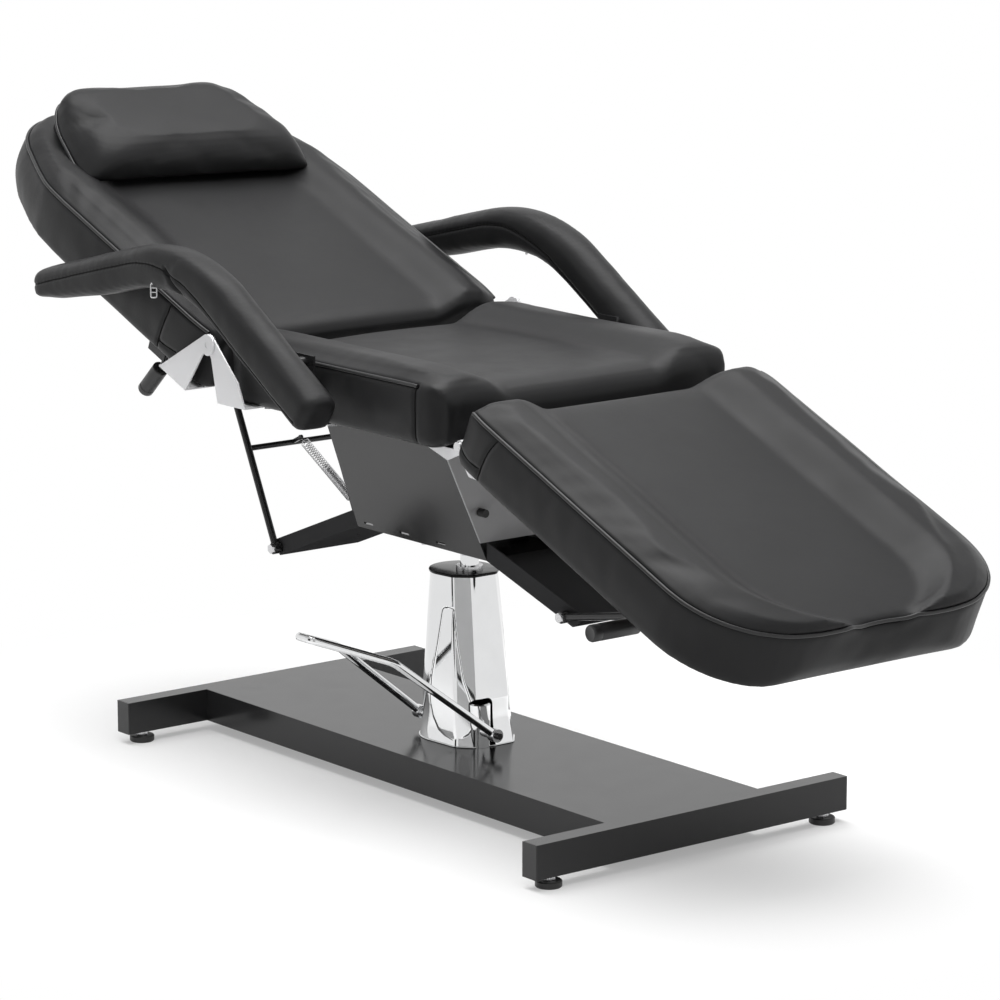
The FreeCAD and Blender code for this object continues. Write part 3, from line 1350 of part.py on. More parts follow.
def tangentArc(start, direction, end):
    """The arc that leaves a point in a direction and ends at another."""
    chord = end - start
    along = vector(chord.x, chord.y, chord.z).normalize()
    side = direction - along * direction.dot(along)
    quarter = math.acos(max(-1.0, min(1.0, direction.dot(along)))) / 2
    middle = (start + end) * 0.5 + side.normalize() * (chord.Length / 2 * math.tan(quarter))
    return Part.Arc(start, middle, end).toShape()


def springStations(length):
    """Height and angle of each half turn: close turns first, then open ones."""
    open_part = length * size("spring_open_share")
    close_turns, open_turns = int(size("spring_close_turns")), int(size("spring_open_turns"))
    stations = []
    for half in range(2 * close_turns + 1):
        stations.append(((length - open_part) * half / (2 * close_turns), math.pi * half))
    for half in range(1, 2 * open_turns + 1):
        stations.append((length - open_part + open_part * half / (2 * open_turns),
                         math.pi * (2 * close_turns + half)))
    return stations


def backSpring():
    """Return spring of the back prop, from the anchor pin to the prop's lug."""
    anchor = vector(0, size("anchor_y"), size("anchor_z"))
    tilt = math.radians(size("back_prop_angle"))
    along = vector(0, math.cos(tilt), math.sin(tilt))
    above = vector(0, -math.sin(tilt), math.cos(tilt))
    pivot = vector(0, size("back_prop_y"), size("back_prop_z"))
    lug = pivot + along * size("back_prop_bar") + above * size("lug_length")
    axis = (lug - anchor).normalize()
    start = anchor + axis * size("lug_radius")
    finish = lug - axis * size("lug_radius")
    side = X
    other = axis.cross(side)
    tail, wire, coil = size("spring_tail"), size("spring_wire_radius"), size("spring_coil_radius")
    length = (finish - start).Length - 2 * tail
    origin = start + axis * tail
    stations = springStations(length)
    points = []
    tangents = []
    for number, (height, angle) in enumerate(stations):
        before = stations[max(number - 1, 0)]
        after = stations[min(number + 1, len(stations) - 1)]
        climb = (after[0] - before[0]) / (after[1] - before[1])
        radial = side * math.cos(angle) + other * math.sin(angle)
        around = other * math.cos(angle) - side * math.sin(angle)
        points.append(origin + axis * height + radial * coil)
        tangents.append((around * coil + axis * climb).normalize())
    edges = [Part.makeLine(start, start + axis * 2 * wire)]
    edges += biarc(start + axis * 2 * wire, axis, points[0], tangents[0])
    for a, from_a, b, to_b in zip(points, tangents, points[1:], tangents[1:]):
        edges += biarc(a, from_a, b, to_b)
    edges += biarc(points[-1], tangents[-1], finish - axis * 2 * wire, axis)
    edges.append(Part.makeLine(finish - axis * 2 * wire, finish))
    route = Part.Wire(edges)
    ring = Part.Wire([Part.makeCircle(wire, start, axis)])
    tube = route.makePipeShell([ring], True, False)
    print("spring: volume over section times length",
          round(tube.Volume / (math.pi * wire * wire * route.Length), 4))
    print("spring: least gap to itself", round(selfGap(route, wire), 3), "mm")
    node("back_spring", [feature("spring_tube", tube)])


def selfGap(route, wire):
    """Least gap between two stretches of a wound wire, measured on points."""
    points = route.discretize(Distance=wire)
    window = int(WINDOW_TURNS * math.tau * size("spring_coil_radius") / wire)
    least = min((points[i] - points[j]).Length for i in range(len(points))
                for j in range(i + NEAR_WIRES, min(i + window, len(points))))
    return least - 2 * wire


# Release levers

def backLever():
    """Release lever under the back rest: a bracket, a cranked rod and a black grip."""
    under = "(back_top - back_thick)"
    pivot_a = "back_lever_a"
    pivot_b = "(%s - back_lever_b)" % under
    cheeks = []
    for name, sign in SIDES.items():
        low = "(-back_lever_x + %s * (bracket_gap + bracket_thick) / 2 - bracket_thick / 2)" % sign
        cheeks.append(box("back_cheek_" + name, (low, low + " + bracket_thick"),
                          (pivot_a + " - bracket_width / 2", pivot_a + " + bracket_width * 1.5"),
                          (pivot_b + " - back_lever_rod * 1.6", under)))
    wide = "(bracket_gap / 2 + bracket_thick)"
    web = box("back_cheek_web", ("-back_lever_x - " + wide, "-back_lever_x + " + wide),
              (pivot_a + " - bracket_width / 2", pivot_a + " + bracket_width * 1.5"),
              (under + " - hinge_plate_thick", under))
    pin_hole = rod("back_cheek_hole", "bolt_radius + running_fit", "2 * %s + 2 * overrun" % wide,
                   ("-back_lever_x - %s - overrun" % wide, pivot_a, pivot_b), "x")
    bolt_hole = holesAt("back_cheek_bolt", backPlaces()[8:9], under + " - hinge_plate_thick")
    inBack("back_lever_bracket", [cut("back_cheek_cut", fuse("back_cheeks", cheeks + [web]),
                                      [pin_hole] + bolt_hole)])
    low = size("back_top") - size("back_thick")
    pivot = vector(-size("back_lever_x"), size("back_lever_a"), low - size("back_lever_b"))
    tip = pivot + vector(0, size("back_lever_reach_a"), -size("back_lever_reach_b"))
    knee = pivot + vector(0, 0, -size("back_lever_knee"))
    bar = feature("back_lever_bar", bentBar([pivot, knee, tip], [size("back_lever_knee") / 2],
                                            size("back_lever_rod")))
    pin = rod("back_lever_pin", "bolt_radius", "2 * " + wide,
              ("-back_lever_x - " + wide, pivot_a, pivot_b), "x")
    collar = rod("back_lever_collar", "back_lever_rod * 1.4", "bracket_gap - 2 * plate_gap",
                 ("-back_lever_x - bracket_gap / 2 + plate_gap", pivot_a, pivot_b), "x")
    inBack("back_lever_rod", [fuse("back_lever_rod_body", [bar, pin, collar])])
    direction = (tip - knee).normalize()
    foot = tip - direction * (size("back_grip_length") - size("overrun"))
    grip = Part.makeCylinder(size("back_grip_radius"), size("back_grip_length"), foot, direction)
    depth = size("back_grip_length") - size("overrun")
    bore = Part.makeCylinder(size("back_lever_rod"), depth, foot, direction)
    inBack("back_lever_grip", [feature("back_grip_form", grip.cut(bore))])


def legLever():
    """Release lever under the leg rest: two brackets, a cranked rod and a black grip."""
    brackets = []
    for number, x in enumerate(("leg_lever_inner", "(leg_lever_inner + leg_lever_span)")):
        low = "(-%s - bracket_thick / 2)" % x
        near = "-leg_lever_f + bracket_width / 2"
        far = "-leg_lever_f - bracket_width * 1.5"
        cheek = box("leg_cheek_%d" % number, (low, low + " + bracket_thick"),
                    (far, near), ("-leg_low - leg_lever_b - leg_lever_rod * 1.6", "-leg_low"))
        foot = box("leg_cheek_foot_%d" % number,
                   ("-%s - bracket_width / 2" % x, "-%s + bracket_width / 2" % x),
                   (far, "-leg_lever_f - bracket_width / 2"), ("-leg_low - hinge_plate_thick", "-leg_low"))
        brackets.append(fuse("leg_bracket_%d" % number, [cheek, foot]))
    pin_hole = rod("leg_cheek_hole", "leg_lever_rod + running_fit", "leg_lever_outer",
                   ("-leg_lever_outer", "-leg_lever_f", "-leg_low - leg_lever_b"), "x")
    bolt_holes = holesAt("leg_cheek_bolt", legPlaces()[8:10], "-leg_low - hinge_plate_thick")
    clear = [box("leg_cheek_clear_%d" % number, ("%s - bolt_head_radius - plate_gap" % x,
                 "%s + bolt_head_radius + plate_gap" % x),
                 (y + " - bolt_head_radius - plate_gap", y + " + bolt_head_radius + plate_gap"),
                 ("-leg_low - leg_plate_drop", "-leg_low - hinge_plate_thick"))
             for number, (x, y) in enumerate(legPlaces()[8:10])]
    finished = []
    for number, bracket in enumerate(brackets):
        finished.append(cut("leg_bracket_cut_%d" % number, bracket,
                            [pin_hole, bolt_holes[number], clear[number]]))
    inLeg("leg_lever_brackets", finished)
    pivot_y, pivot_z = -size("leg_lever_f"), -size("leg_low") - size("leg_lever_b")
    start = vector(size("bracket_width") / 2 - size("leg_lever_inner"), pivot_y, pivot_z)
    knee_x = -size("leg_lever_inner") - size("leg_lever_span") - size("bracket_width") * 0.6
    low_y, low_z = pivot_y - size("leg_lever_drop_f"), pivot_z - size("leg_lever_drop_b")
    route = [start, vector(knee_x, pivot_y, pivot_z), vector(knee_x, low_y, low_z)]
    tip = vector(-size("leg_lever_outer"), low_y, low_z)
    bend = size("leg_lever_rod") * 1.6
    bar = feature("leg_lever_bar", bentBar(route + [tip], [bend, bend], size("leg_lever_rod")))
    inLeg("leg_lever_rod", [bar])
    grip = rod("leg_grip_outer", "leg_grip_radius", "leg_grip_length",
               ("-leg_lever_outer - overrun", "-leg_lever_f - leg_lever_drop_f",
                "-leg_low - leg_lever_b - leg_lever_drop_b"), "x")
    bore = rod("leg_grip_bore", "leg_lever_rod", "leg_grip_length",
               ("-leg_lever_outer", "-leg_lever_f - leg_lever_drop_f",
                "-leg_low - leg_lever_b - leg_lever_drop_b"), "x")
    inLeg("leg_lever_grip", [cut("leg_grip_cut", grip, [bore])])


# Armrests

def armrestPoints(x):
    """Low end, knee and tip of an armrest's centre line."""
    low = vector(x, size("armrest_low_y"), size("armrest_low_z"))
    knee = vector(x, size("armrest_knee_y"), size("armrest_knee_z"))
    tip = vector(x, size("armrest_tip_y"), size("armrest_tip_z"))
    return low, knee, tip


def armrestSection(start, along, width, thick):
    """D section of the armrest: flat below with rounded shoulders and crown."""
    up = X.cross(along).normalize()
    half = width / 2
    def at(x, z):
        return start + X * x + up * z
    low, waist, top = -thick / 2, thick * 0.08, thick / 2
    return Part.Wire([
        Part.makeLine(at(-half * 0.9, low), at(half * 0.9, low)),
        Part.Arc(at(half * 0.9, low), at(half, (low + waist) / 2), at(half * 0.96, waist)).toShape(),
        Part.Arc(at(half * 0.96, waist), at(0, top), at(-half * 0.96, waist)).toShape(),
        Part.Arc(at(-half * 0.96, waist), at(-half, (low + waist) / 2), at(-half * 0.9, low)).toShape()])


def armrestEnd(centre, along, width, thick):
    """Rounded end of the pad: half the D section turned about the pad's own up axis."""
    up = X.cross(along).normalize()
    ring = armrestSection(centre, along, width, thick)
    reach = width
    cutter = Part.makeBox(reach, 2 * reach, 2 * reach)
    turn = FreeCAD.Rotation(X, along, up, "XYZ")
    corner = centre - along * reach - up * reach
    cutter.Placement = FreeCAD.Placement(corner, turn)
    half = Part.Face(ring).common(cutter)
    return half.revolve(centre, up, 360)


def armrests():
    """Bent pads on a steel tube, each held by a bracket bolted under the seat."""
    frames = []
    width, thick = size("armrest_width"), size("armrest_thick")
    for name, sign in (("left", -1), ("right", 1)):
        x = sign * size("armrest_x")
        low, knee, tip = armrestPoints(x)
        into = (knee - low).normalize()
        out = (tip - knee).normalize()
        inset = size("armrest_round")
        route = bentWire([low + into * inset, knee, tip - out * inset], [size("armrest_bend")])
        pad = route.makePipeShell([armrestSection(low + into * inset, into, width, thick)], True, True)
        ends = [armrestEnd(low + into * inset, into, width, thick),
                armrestEnd(tip - out * inset, out, width, thick)]
        whole = pad.fuse(ends).removeSplitter()
        tube, bore = armrestFrame(sign, low, knee, tip)
        node("armrest_pad_" + name, [feature("armrest_pad_form_" + name, whole.cut(bore))])
        frames.append(tube)
    node("armrest_frames", frames)


def armrestFrame(sign, low, knee, tip):
    """Steel inside one armrest: bent tube, stub and foot, and the space they need."""
    into = (knee - low).normalize()
    out = (tip - knee).normalize()
    margin = size("armrest_tube_end")
    radius, gap = size("armrest_tube_radius"), size("soft_gap")
    points = [low + into * margin, knee, tip - out * margin]
    tube = bentBar(points, [size("armrest_bend")], radius)
    longer = [points[0] - into * gap, knee, points[2] + out * gap]
    space = bentBar(longer, [size("armrest_bend")], radius + gap)
    foot_y, plate_x = size("armrest_foot_y"), size("armrest_foot_x")
    plate = size("frame_plate")
    along = (foot_y - low.y) / into.y
    centre = low + into * along
    across = vector(-sign, 0, 0)
    stub_length = abs(centre.x) - plate_x - plate
    stub_radius = size("armrest_stub_radius")
    stub = Part.makeCylinder(stub_radius, stub_length, centre, across)
    stub_space = Part.makeCylinder(stub_radius + gap, stub_length, centre, across)
    half = size("armrest_foot_width") / 2
    seat_z = size("seat_z")
    wall_low = min(sign * plate_x, sign * (plate_x + plate))
    wall = Part.makeBox(plate, 2 * half, centre.z + radius - seat_z + plate,
                        vector(wall_low, foot_y - half, seat_z - plate))
    flange_width = size("hinge_flange")
    flange_low = sign * plate_x if sign < 0 else plate_x - flange_width
    floor = Part.makeBox(flange_width, 2 * half, plate, vector(flange_low, foot_y - half, seat_z - plate))
    name = "left" if sign < 0 else "right"
    steel = feature("armrest_steel_" + name, tube.fuse([stub, wall, floor]).removeSplitter())
    holes = [rod("armrest_hole_%s_%d" % (name, number), "bolt_radius + bolt_fit",
                 "frame_plate + 2 * overrun", (x, y, "seat_z - frame_plate - overrun"))
             for number, (x, y) in enumerate(armrestBolts(SIDES[name]))]
    return cut("armrest_frame_cut_" + name, steel, holes), space.fuse(stub_space)


def armrestUnderside(y):
    """Height of the pad's flat underside at a distance from the pump's axis."""
    low, knee, tip = armrestPoints(0)
    route = bentWire([low, knee, tip], [size("armrest_bend")])
    steps = route.discretize(Distance=size("pull_width"))
    for before, after in zip(steps, steps[1:]):
        if before.y <= y < after.y:
            slope = (after - before).normalize()
            centre = before.z + (y - before.y) * slope.z / slope.y
            return centre - size("armrest_thick") / 2 / slope.y
    raise SystemExit("the zip's pull lies off the armrest")


def zipPulls():
    """A small metal pull tab that hangs at the zip of each armrest's sleeve."""
    y, eye, hole = size("pull_y"), size("pull_eye_radius"), size("pull_hole_radius")
    wide, long, thick = size("pull_width"), size("pull_length"), size("pull_thick")
    centre_z = armrestUnderside(y) - size("soft_gap") - eye
    for name, sign in (("left", -1), ("right", 1)):
        x = sign * size("pull_x") - thick / 2
        ring = Part.makeCylinder(eye, thick, vector(x, y, centre_z), X)
        tab = Part.makeBox(thick, wide, long, vector(x, y - wide / 2, centre_z - long))
        bore = Part.makeCylinder(hole, thick, vector(x, y, centre_z), X)
        node("zip_pull_" + name, [feature("pull_form_" + name, ring.fuse(tab).cut(bore))])
    print("zip pulls: eye's centre at height", round(centre_z, 2), "mm")


def checkAll():
    """Stop if any object failed, or any sub-part is empty or broken."""
    for thing in doc.Objects:
        if "Invalid" in thing.State or "Error" in thing.State:
            raise SystemExit("failed: %s %s" % (thing.Name, thing.State))
    for thing in nodes:
        if thing.Shape.isNull() or not thing.Shape.isValid() or not thing.Shape.Solids:
            raise SystemExit("broken sub-part: " + thing.Label)


fillSheet()
rails()
railCaps()
tray()
feet()
pump()
cover()
pedal()
hub()
frameSides()
frameChannel()
frameArms()
crossPlate()
pivotBolts()
seat()
back()
leg()
seatHingePlates()
backHingePlates()
hingeBolts()
legHinges()
props()
racks()
backSpring()
backLever()
legLever()
armrests()
zipPulls()
doc.recompute()
checkAll()
os.makedirs("parts", exist_ok=True)
for part in nodes:
    part.Shape.exportStep("parts/%s.step" % part.Label)
    print(part.Label, len(part.Shape.Solids))
print(len(nodes), "nodes")
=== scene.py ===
import json
import math

import bmesh
import bpy
import numpy as np
from mathutils import Matrix, Vector, noise
from mathutils.bvhtree import BVHTree
from mathutils.geometry import convex_hull_2d
from mathutils.kdtree import KDTree


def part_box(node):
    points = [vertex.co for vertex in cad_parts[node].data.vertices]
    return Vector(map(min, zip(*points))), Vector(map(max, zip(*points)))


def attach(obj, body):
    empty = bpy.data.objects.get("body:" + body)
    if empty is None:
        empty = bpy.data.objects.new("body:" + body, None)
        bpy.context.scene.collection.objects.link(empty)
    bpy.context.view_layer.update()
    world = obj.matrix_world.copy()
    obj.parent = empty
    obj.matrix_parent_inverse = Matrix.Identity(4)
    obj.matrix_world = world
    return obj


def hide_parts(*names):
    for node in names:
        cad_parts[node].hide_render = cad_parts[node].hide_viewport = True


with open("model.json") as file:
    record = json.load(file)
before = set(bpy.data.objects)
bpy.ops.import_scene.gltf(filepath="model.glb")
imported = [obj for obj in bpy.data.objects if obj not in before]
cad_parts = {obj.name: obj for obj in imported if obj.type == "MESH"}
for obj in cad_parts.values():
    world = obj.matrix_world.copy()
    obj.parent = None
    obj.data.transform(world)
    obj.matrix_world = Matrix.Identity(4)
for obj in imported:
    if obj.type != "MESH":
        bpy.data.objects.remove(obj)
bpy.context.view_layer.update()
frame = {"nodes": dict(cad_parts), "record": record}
nodes = frame["nodes"]
scene = bpy.context.scene
pumpY = -0.0214


def restSpace(behindPump, height, lean):
    # place of a hinged rest, which is drawn flat from its own hinge
    return Matrix.Translation((0, pumpY + behindPump, height)) @ Matrix.Rotation(math.radians(lean), 4, "X")


backSpace = restSpace(0.255, 0.658, 22)
legSpace = restSpace(-0.292, 0.582, 23)
pumpSpace = Matrix.Translation((0, pumpY, 0))


# Small helpers

def addObject(name, data):
    piece = bpy.data.objects.new(name, data)
    scene.collection.objects.link(piece)
    return piece


def smooth(mesh):
    mesh.polygons.foreach_set("use_smooth", [True] * len(mesh.polygons))


def meshOf(name, points, faces):
    mesh = bpy.data.meshes.new(name)
    mesh.from_pydata([tuple(p) for p in points], [], faces)
    mesh.validate()
    smooth(mesh)
    return mesh


def reshape(piece, change):
    # hands the piece's mesh to a function that edits it
    form = bmesh.new()
    form.from_mesh(piece.data)
    change(form)
    form.to_mesh(piece.data)
    form.free()


def quad(name, corners):
    return addObject(name, meshOf(name, corners, [(0, 1, 2, 3)]))


def outward(piece):
    # turns every face of a closed mesh to the outside
    reshape(piece, lambda form: bmesh.ops.recalc_face_normals(form, faces=form.faces))


def crisp(piece, degrees=32):
    # smooth shading, broken at the piece's real edges
    outward(piece)
    smooth(piece.data)
    piece.data.set_sharp_from_angle(angle=math.radians(degrees))


def evaluated(piece):
    bpy.context.view_layer.update()
    return piece.evaluated_get(bpy.context.evaluated_depsgraph_get())


def settle(piece):
    # applies every modifier on the piece
    made = bpy.data.meshes.new_from_object(evaluated(piece))
    piece.modifiers.clear()
    old = piece.data
    piece.data = made
    if old.users == 0:
        bpy.data.meshes.remove(old)


def modify(piece, kind, **settings):
    # adds one modifier and applies it
    modifier = piece.modifiers.new(kind, kind)
    for key, value in settings.items():
        setattr(modifier, key, value)
    settle(piece)


def vertexRows(mesh, attribute):
    flat = np.zeros(len(mesh.vertices) * 3)
    mesh.vertices.foreach_get(attribute, flat)
    return flat.reshape(-1, 3)


def spots(piece):
    return vertexRows(piece.data, "co")


def setSpots(piece, places):
    piece.data.vertices.foreach_set("co", np.asarray(places, float).ravel())
    piece.data.update()


def ease(low, high, value):
    t = np.clip((value - low) / (high - low), 0, 1)
    return t * t * (3 - 2 * t)


def lookUp(table, place):
    # reads a table of pairs, with even changes between its rows
    table = np.array(table)
    return np.interp(place, table[:, 0], table[:, 1])


def distances(path):
    # how far along a line of points each of them is
    return np.r_[0, np.cumsum(np.linalg.norm(np.diff(path, axis=0), axis=1))]


def softened(line, times):
    # a line of points with its kinks evened out and its ends kept
    for _ in range(times):
        line[1:-1] = (line[:-2] + 2 * line[1:-1] + line[2:]) / 4
    return line


def cornerPoint(start, corner, stop, t):
    # a point of the curve that rounds a corner
    return (1 - t) ** 2 * start + 2 * t * (1 - t) * corner + t * t * stop


def bothHalves(half):
    # a closed outline from its left half
    return np.vstack([half, (half * (-1, 1))[::-1][1:-1]])


def loft(name, rings, ends="capped"):
    # skin through rings that all have the same number of points; its ends are capped, open or joined
    count, rows = len(rings[0]), len(rings)
    points = [p for ring in rings for p in ring]
    faces = []
    for r in range(rows if ends == "joined" else rows - 1):
        s = (r + 1) % rows
        for i in range(count):
            j = (i + 1) % count
            faces.append((r * count + i, r * count + j, s * count + j, s * count + i))
    if ends == "capped":
        faces.append(tuple(range(count))[::-1])
        faces.append(tuple((rows - 1) * count + i for i in range(count)))
    return addObject(name, meshOf(name, points, faces))


def evenly(path, step):
    # resamples a line of points to an even step
    path = np.asarray(path, float)
    lengths = distances(path)
    marks = np.linspace(0, lengths[-1], max(int(lengths[-1] / step), 2))
    return np.stack([np.interp(marks, lengths, path[:, k]) for k in range(3)], 1)


def tube(name, path, radius, sides=10, closed=False):
    # round bar along a line of points
    curve = bpy.data.curves.new(name, "CURVE")
    curve.dimensions = "3D"
    curve.bevel_depth = radius
    curve.bevel_resolution = max(sides // 2 - 1, 1)
    curve.use_fill_caps = True
    line = curve.splines.new("POLY")
    line.points.add(len(path) - 1)
    for point, place in zip(line.points, path):
        point.co = (*place, 1)
    line.use_cyclic_u = closed
    holder = addObject(name + "Line", curve)
    mesh = bpy.data.meshes.new_from_object(evaluated(holder))
    mesh.name = name
    bpy.data.objects.remove(holder)
    smooth(mesh)
    return addObject(name, mesh)


def lathe(name, profile, base, along, sides=56):
    # turned piece: the profile lists distance along the axis and radius
    axis = Vector(along).normalized()
    side = axis.orthogonal().normalized()
    other = axis.cross(side)
    spokes = [side * math.cos(math.tau * i / sides) + other * math.sin(math.tau * i / sides) for i in range(sides)]
    rings = [[Vector(base) + axis * distance + spoke * radius for spoke in spokes] for distance, radius in profile]
    piece = loft(name, rings)
    crisp(piece)
    return piece


def joinPieces(first, others):
    # one mesh from several closed forms
    reshape(first, lambda form: [form.from_mesh(thing.data) for thing in others])
    for thing in others:
        bpy.data.objects.remove(thing)
    return first


# Materials

def connect(tree, node, inputs):
    # sets each socket to a value, or links it to the output of another node
    for key, value in inputs.items():
        if isinstance(value, bpy.types.NodeSocket):
            tree.links.new(value, node.inputs[key])
        else:
            node.inputs[key].default_value = value


def addNode(tree, kind, inputs=None, **settings):
    node = tree.nodes.new("ShaderNode" + kind)
    for key, value in settings.items():
        setattr(node, key, value)
    connect(tree, node, inputs or {})
    return node


def emptyTree(owner):
    owner.use_nodes = True
    owner.node_tree.nodes.clear()
    return owner.node_tree


def newMaterial(name):
    material = bpy.data.materials.new(name)
    tree = emptyTree(material)
    shader = addNode(tree, "BsdfPrincipled")
    addNode(tree, "OutputMaterial", {"Surface": shader.outputs[0]})
    return material, tree, shader


def noiseNode(tree, coords, scale, detail=3.0, rough=0.5):
    return addNode(tree, "TexNoise", {"Scale": scale, "Detail": detail, "Roughness": rough,
                                      "Vector": coords}).outputs["Fac"]


def mapRange(tree, value, source, target, **settings):
    return addNode(tree, "MapRange", {"From Min": source[0], "From Max": source[1], "To Min": target[0],
                                      "To Max": target[1], "Value": value}, **settings).outputs["Result"]


def gloss(tree, coords, scale, roughness, detail, rough=0.5):
    # roughness that changes slowly over the piece
    middleOfNoise = (0.3, 0.7)
    return mapRange(tree, noiseNode(tree, coords, scale, detail, rough), middleOfNoise, roughness)


def tone(tree, value, values):
    return addNode(tree, "Mix", {"A": (*values["dark"], 1), "B": (*values["light"], 1), "Factor": value},
                   data_type="RGBA").outputs["Result"]


def bump(tree, height, distance, before=None):
    inputs = {"Strength": 1.0, "Distance": distance, "Height": height}
    if before:
        inputs["Normal"] = before
    return addNode(tree, "Bump", inputs).outputs["Normal"]


def objectCoords(tree):
    return addNode(tree, "TexCoord").outputs["Object"]


def stretched(tree, scale):
    # the piece's own coordinates, stretched for streaks and grain
    return addNode(tree, "Mapping", {"Scale": scale, "Vector": objectCoords(tree)}).outputs[0]


def leatherFinish(name, values):
    # coated fabric: fine pebble grain, slow changes of tone and gloss
    material, tree, shader = newMaterial(name)
    coords = objectCoords(tree)
    cells = addNode(tree, "TexVoronoi", {"Scale": values["grainScale"], "Vector": coords})
    grain = bump(tree, cells.outputs["Distance"], values["grainDepth"])
    creases = noiseNode(tree, coords, values["creaseScale"], 5, 0.6)
    connect(tree, shader, {
        "Base Color": tone(tree, noiseNode(tree, coords, values["toneScale"], 2), values),
        "Roughness": gloss(tree, coords, values["glossScale"], values["roughness"], 4),
        "Normal": bump(tree, creases, values["creaseDepth"], grain),
        "Specular IOR Level": values["specular"]})
    return material


def coatFinish(name, values):
    # powder coat, paint or moulded plastic: orange peel and slight changes of gloss
    material, tree, shader = newMaterial(name)
    coords = objectCoords(tree)
    connect(tree, shader, {
        "Base Color": tone(tree, noiseNode(tree, coords, values["toneScale"], 3), values),
        "Roughness": gloss(tree, coords, values["glossScale"], values["roughness"], 4),
        "Normal": bump(tree, noiseNode(tree, coords, values["peelScale"], 2), values["peelDepth"]),
        "Specular IOR Level": values["specular"]})
    return material


def metalFinish(name, values):
    # plated or brushed metal with fine streaks and handling marks
    material, tree, shader = newMaterial(name)
    streaks = noiseNode(tree, stretched(tree, values["streak"]), values["streakScale"], 4)
    connect(tree, shader, {
        "Base Color": tone(tree, streaks, values),
        "Roughness": gloss(tree, objectCoords(tree), values["markScale"], values["roughness"], 5, 0.6),
        "Normal": bump(tree, streaks, values["streakDepth"]),
        "Metallic": 1})
    return material


def plywoodFinish(name, values):
    # veneer face with long grain
    material, tree, shader = newMaterial(name)
    grain = noiseNode(tree, stretched(tree, values["grainStretch"]), values["grainScale"], 6, 0.65)
    connect(tree, shader, {"Base Color": tone(tree, grain, values), "Roughness": values["roughness"],
                           "Normal": bump(tree, grain, values["grainDepth"])})
    return material


finishes = {
    "upholstery": leatherFinish("blackUpholstery", {
        "dark": (0.0090, 0.0090, 0.0094), "light": (0.0130, 0.0130, 0.0134), "toneScale": 7,
        "glossScale": 14, "roughness": (0.38, 0.47), "specular": 0.16,
        "grainScale": 900, "grainDepth": 0.00007, "creaseScale": 160, "creaseDepth": 0.00013}),
    "piping": leatherFinish("blackPiping", {
        "dark": (0.009, 0.009, 0.0094), "light": (0.013, 0.013, 0.0134), "toneScale": 20,
        "glossScale": 30, "roughness": (0.28, 0.36), "specular": 0.4,
        "grainScale": 1100, "grainDepth": 0.00005, "creaseScale": 300, "creaseDepth": 0.00007}),
    "chrome": metalFinish("polishedChrome", {
        "dark": (0.70, 0.705, 0.71), "light": (0.77, 0.775, 0.78), "streak": (1, 1, 1), "streakScale": 30,
        "streakDepth": 0.00001, "markScale": 40, "roughness": (0.035, 0.075)}),
    "bright_steel": metalFinish("zincPlate", {
        "dark": (0.55, 0.55, 0.56), "light": (0.72, 0.72, 0.73), "streak": (1, 1, 6), "streakScale": 150,
        "streakDepth": 0.00003, "markScale": 90, "roughness": (0.20, 0.34)}),
    "plywood": plywoodFinish("stainedPlywood", {
        "dark": (0.040, 0.035, 0.031), "light": (0.085, 0.074, 0.064), "grainStretch": (9, 1, 14),
        "grainScale": 14, "grainDepth": 0.0002, "roughness": 0.62}),
}
coatKeys = ("dark", "light", "toneScale", "glossScale", "roughness", "peelScale", "peelDepth", "specular")
coatRows = {
    "thread": ("blackThread", (0.003, 0.003, 0.003), (0.006, 0.006, 0.006), 300, 200, (0.6, 0.75), 2500, 0.0001, 0.1),
    "painted_black": ("blackPowderCoat", (0.012, 0.012, 0.0125), (0.017, 0.017, 0.0175), 9, 25, (0.15, 0.20),
                      700, 0.000004, 0.34),
    "matte_black": ("matteBlackCoat", (0.032, 0.032, 0.033), (0.040, 0.040, 0.041), 9, 25, (0.48, 0.56),
                    700, 0.00001, 0.0),
    "pale_steel": ("paleSilverPaint", (0.58, 0.58, 0.59), (0.65, 0.65, 0.66), 12, 30, (0.34, 0.42), 800, 0.00003, 0.5),
    # the pale paint darkened: painted shade for the cross plate under the leg rest
    "grey_steel": ("greySteelPaint", (0.24, 0.24, 0.245), (0.29, 0.29, 0.295), 12, 30, (0.36, 0.44),
                   800, 0.00003, 0.4),
    "foot_black": ("footBlack", (0.014, 0.014, 0.014), (0.021, 0.021, 0.021), 30, 60, (0.38, 0.5),
                   900, 0.00005, 0.45),
    "black_screws": ("blackScrews", (0.010, 0.010, 0.010), (0.016, 0.016, 0.016), 60, 90, (0.22, 0.32),
                     1200, 0.00003, 0.5),
    "plastic": ("blackPlastic", (0.013, 0.013, 0.0135), (0.019, 0.019, 0.0195), 25, 50, (0.34, 0.44),
                1500, 0.00004, 0.45),
    "glossPlastic": ("glossBlackPlastic", (0.005, 0.005, 0.005), (0.008, 0.008, 0.008), 25, 50, (0.12, 0.18),
                     300, 0.00001, 0.12),
    "rubber": ("blackRubber", (0.012, 0.012, 0.012), (0.019, 0.019, 0.019), 40, 80, (0.45, 0.6), 1000, 0.00008, 0.4),
}
for coat, (coatName, *coatRow) in coatRows.items():
    finishes[coat] = coatFinish(coatName, dict(zip(coatKeys, coatRow)))


def dress(piece, body, finish, space=None):
    # gives a piece its material, its body and its place
    if space is not None:
        piece.data.transform(space)
    piece.data.materials.clear()
    piece.data.materials.append(finishes[finish])
    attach(piece, body)
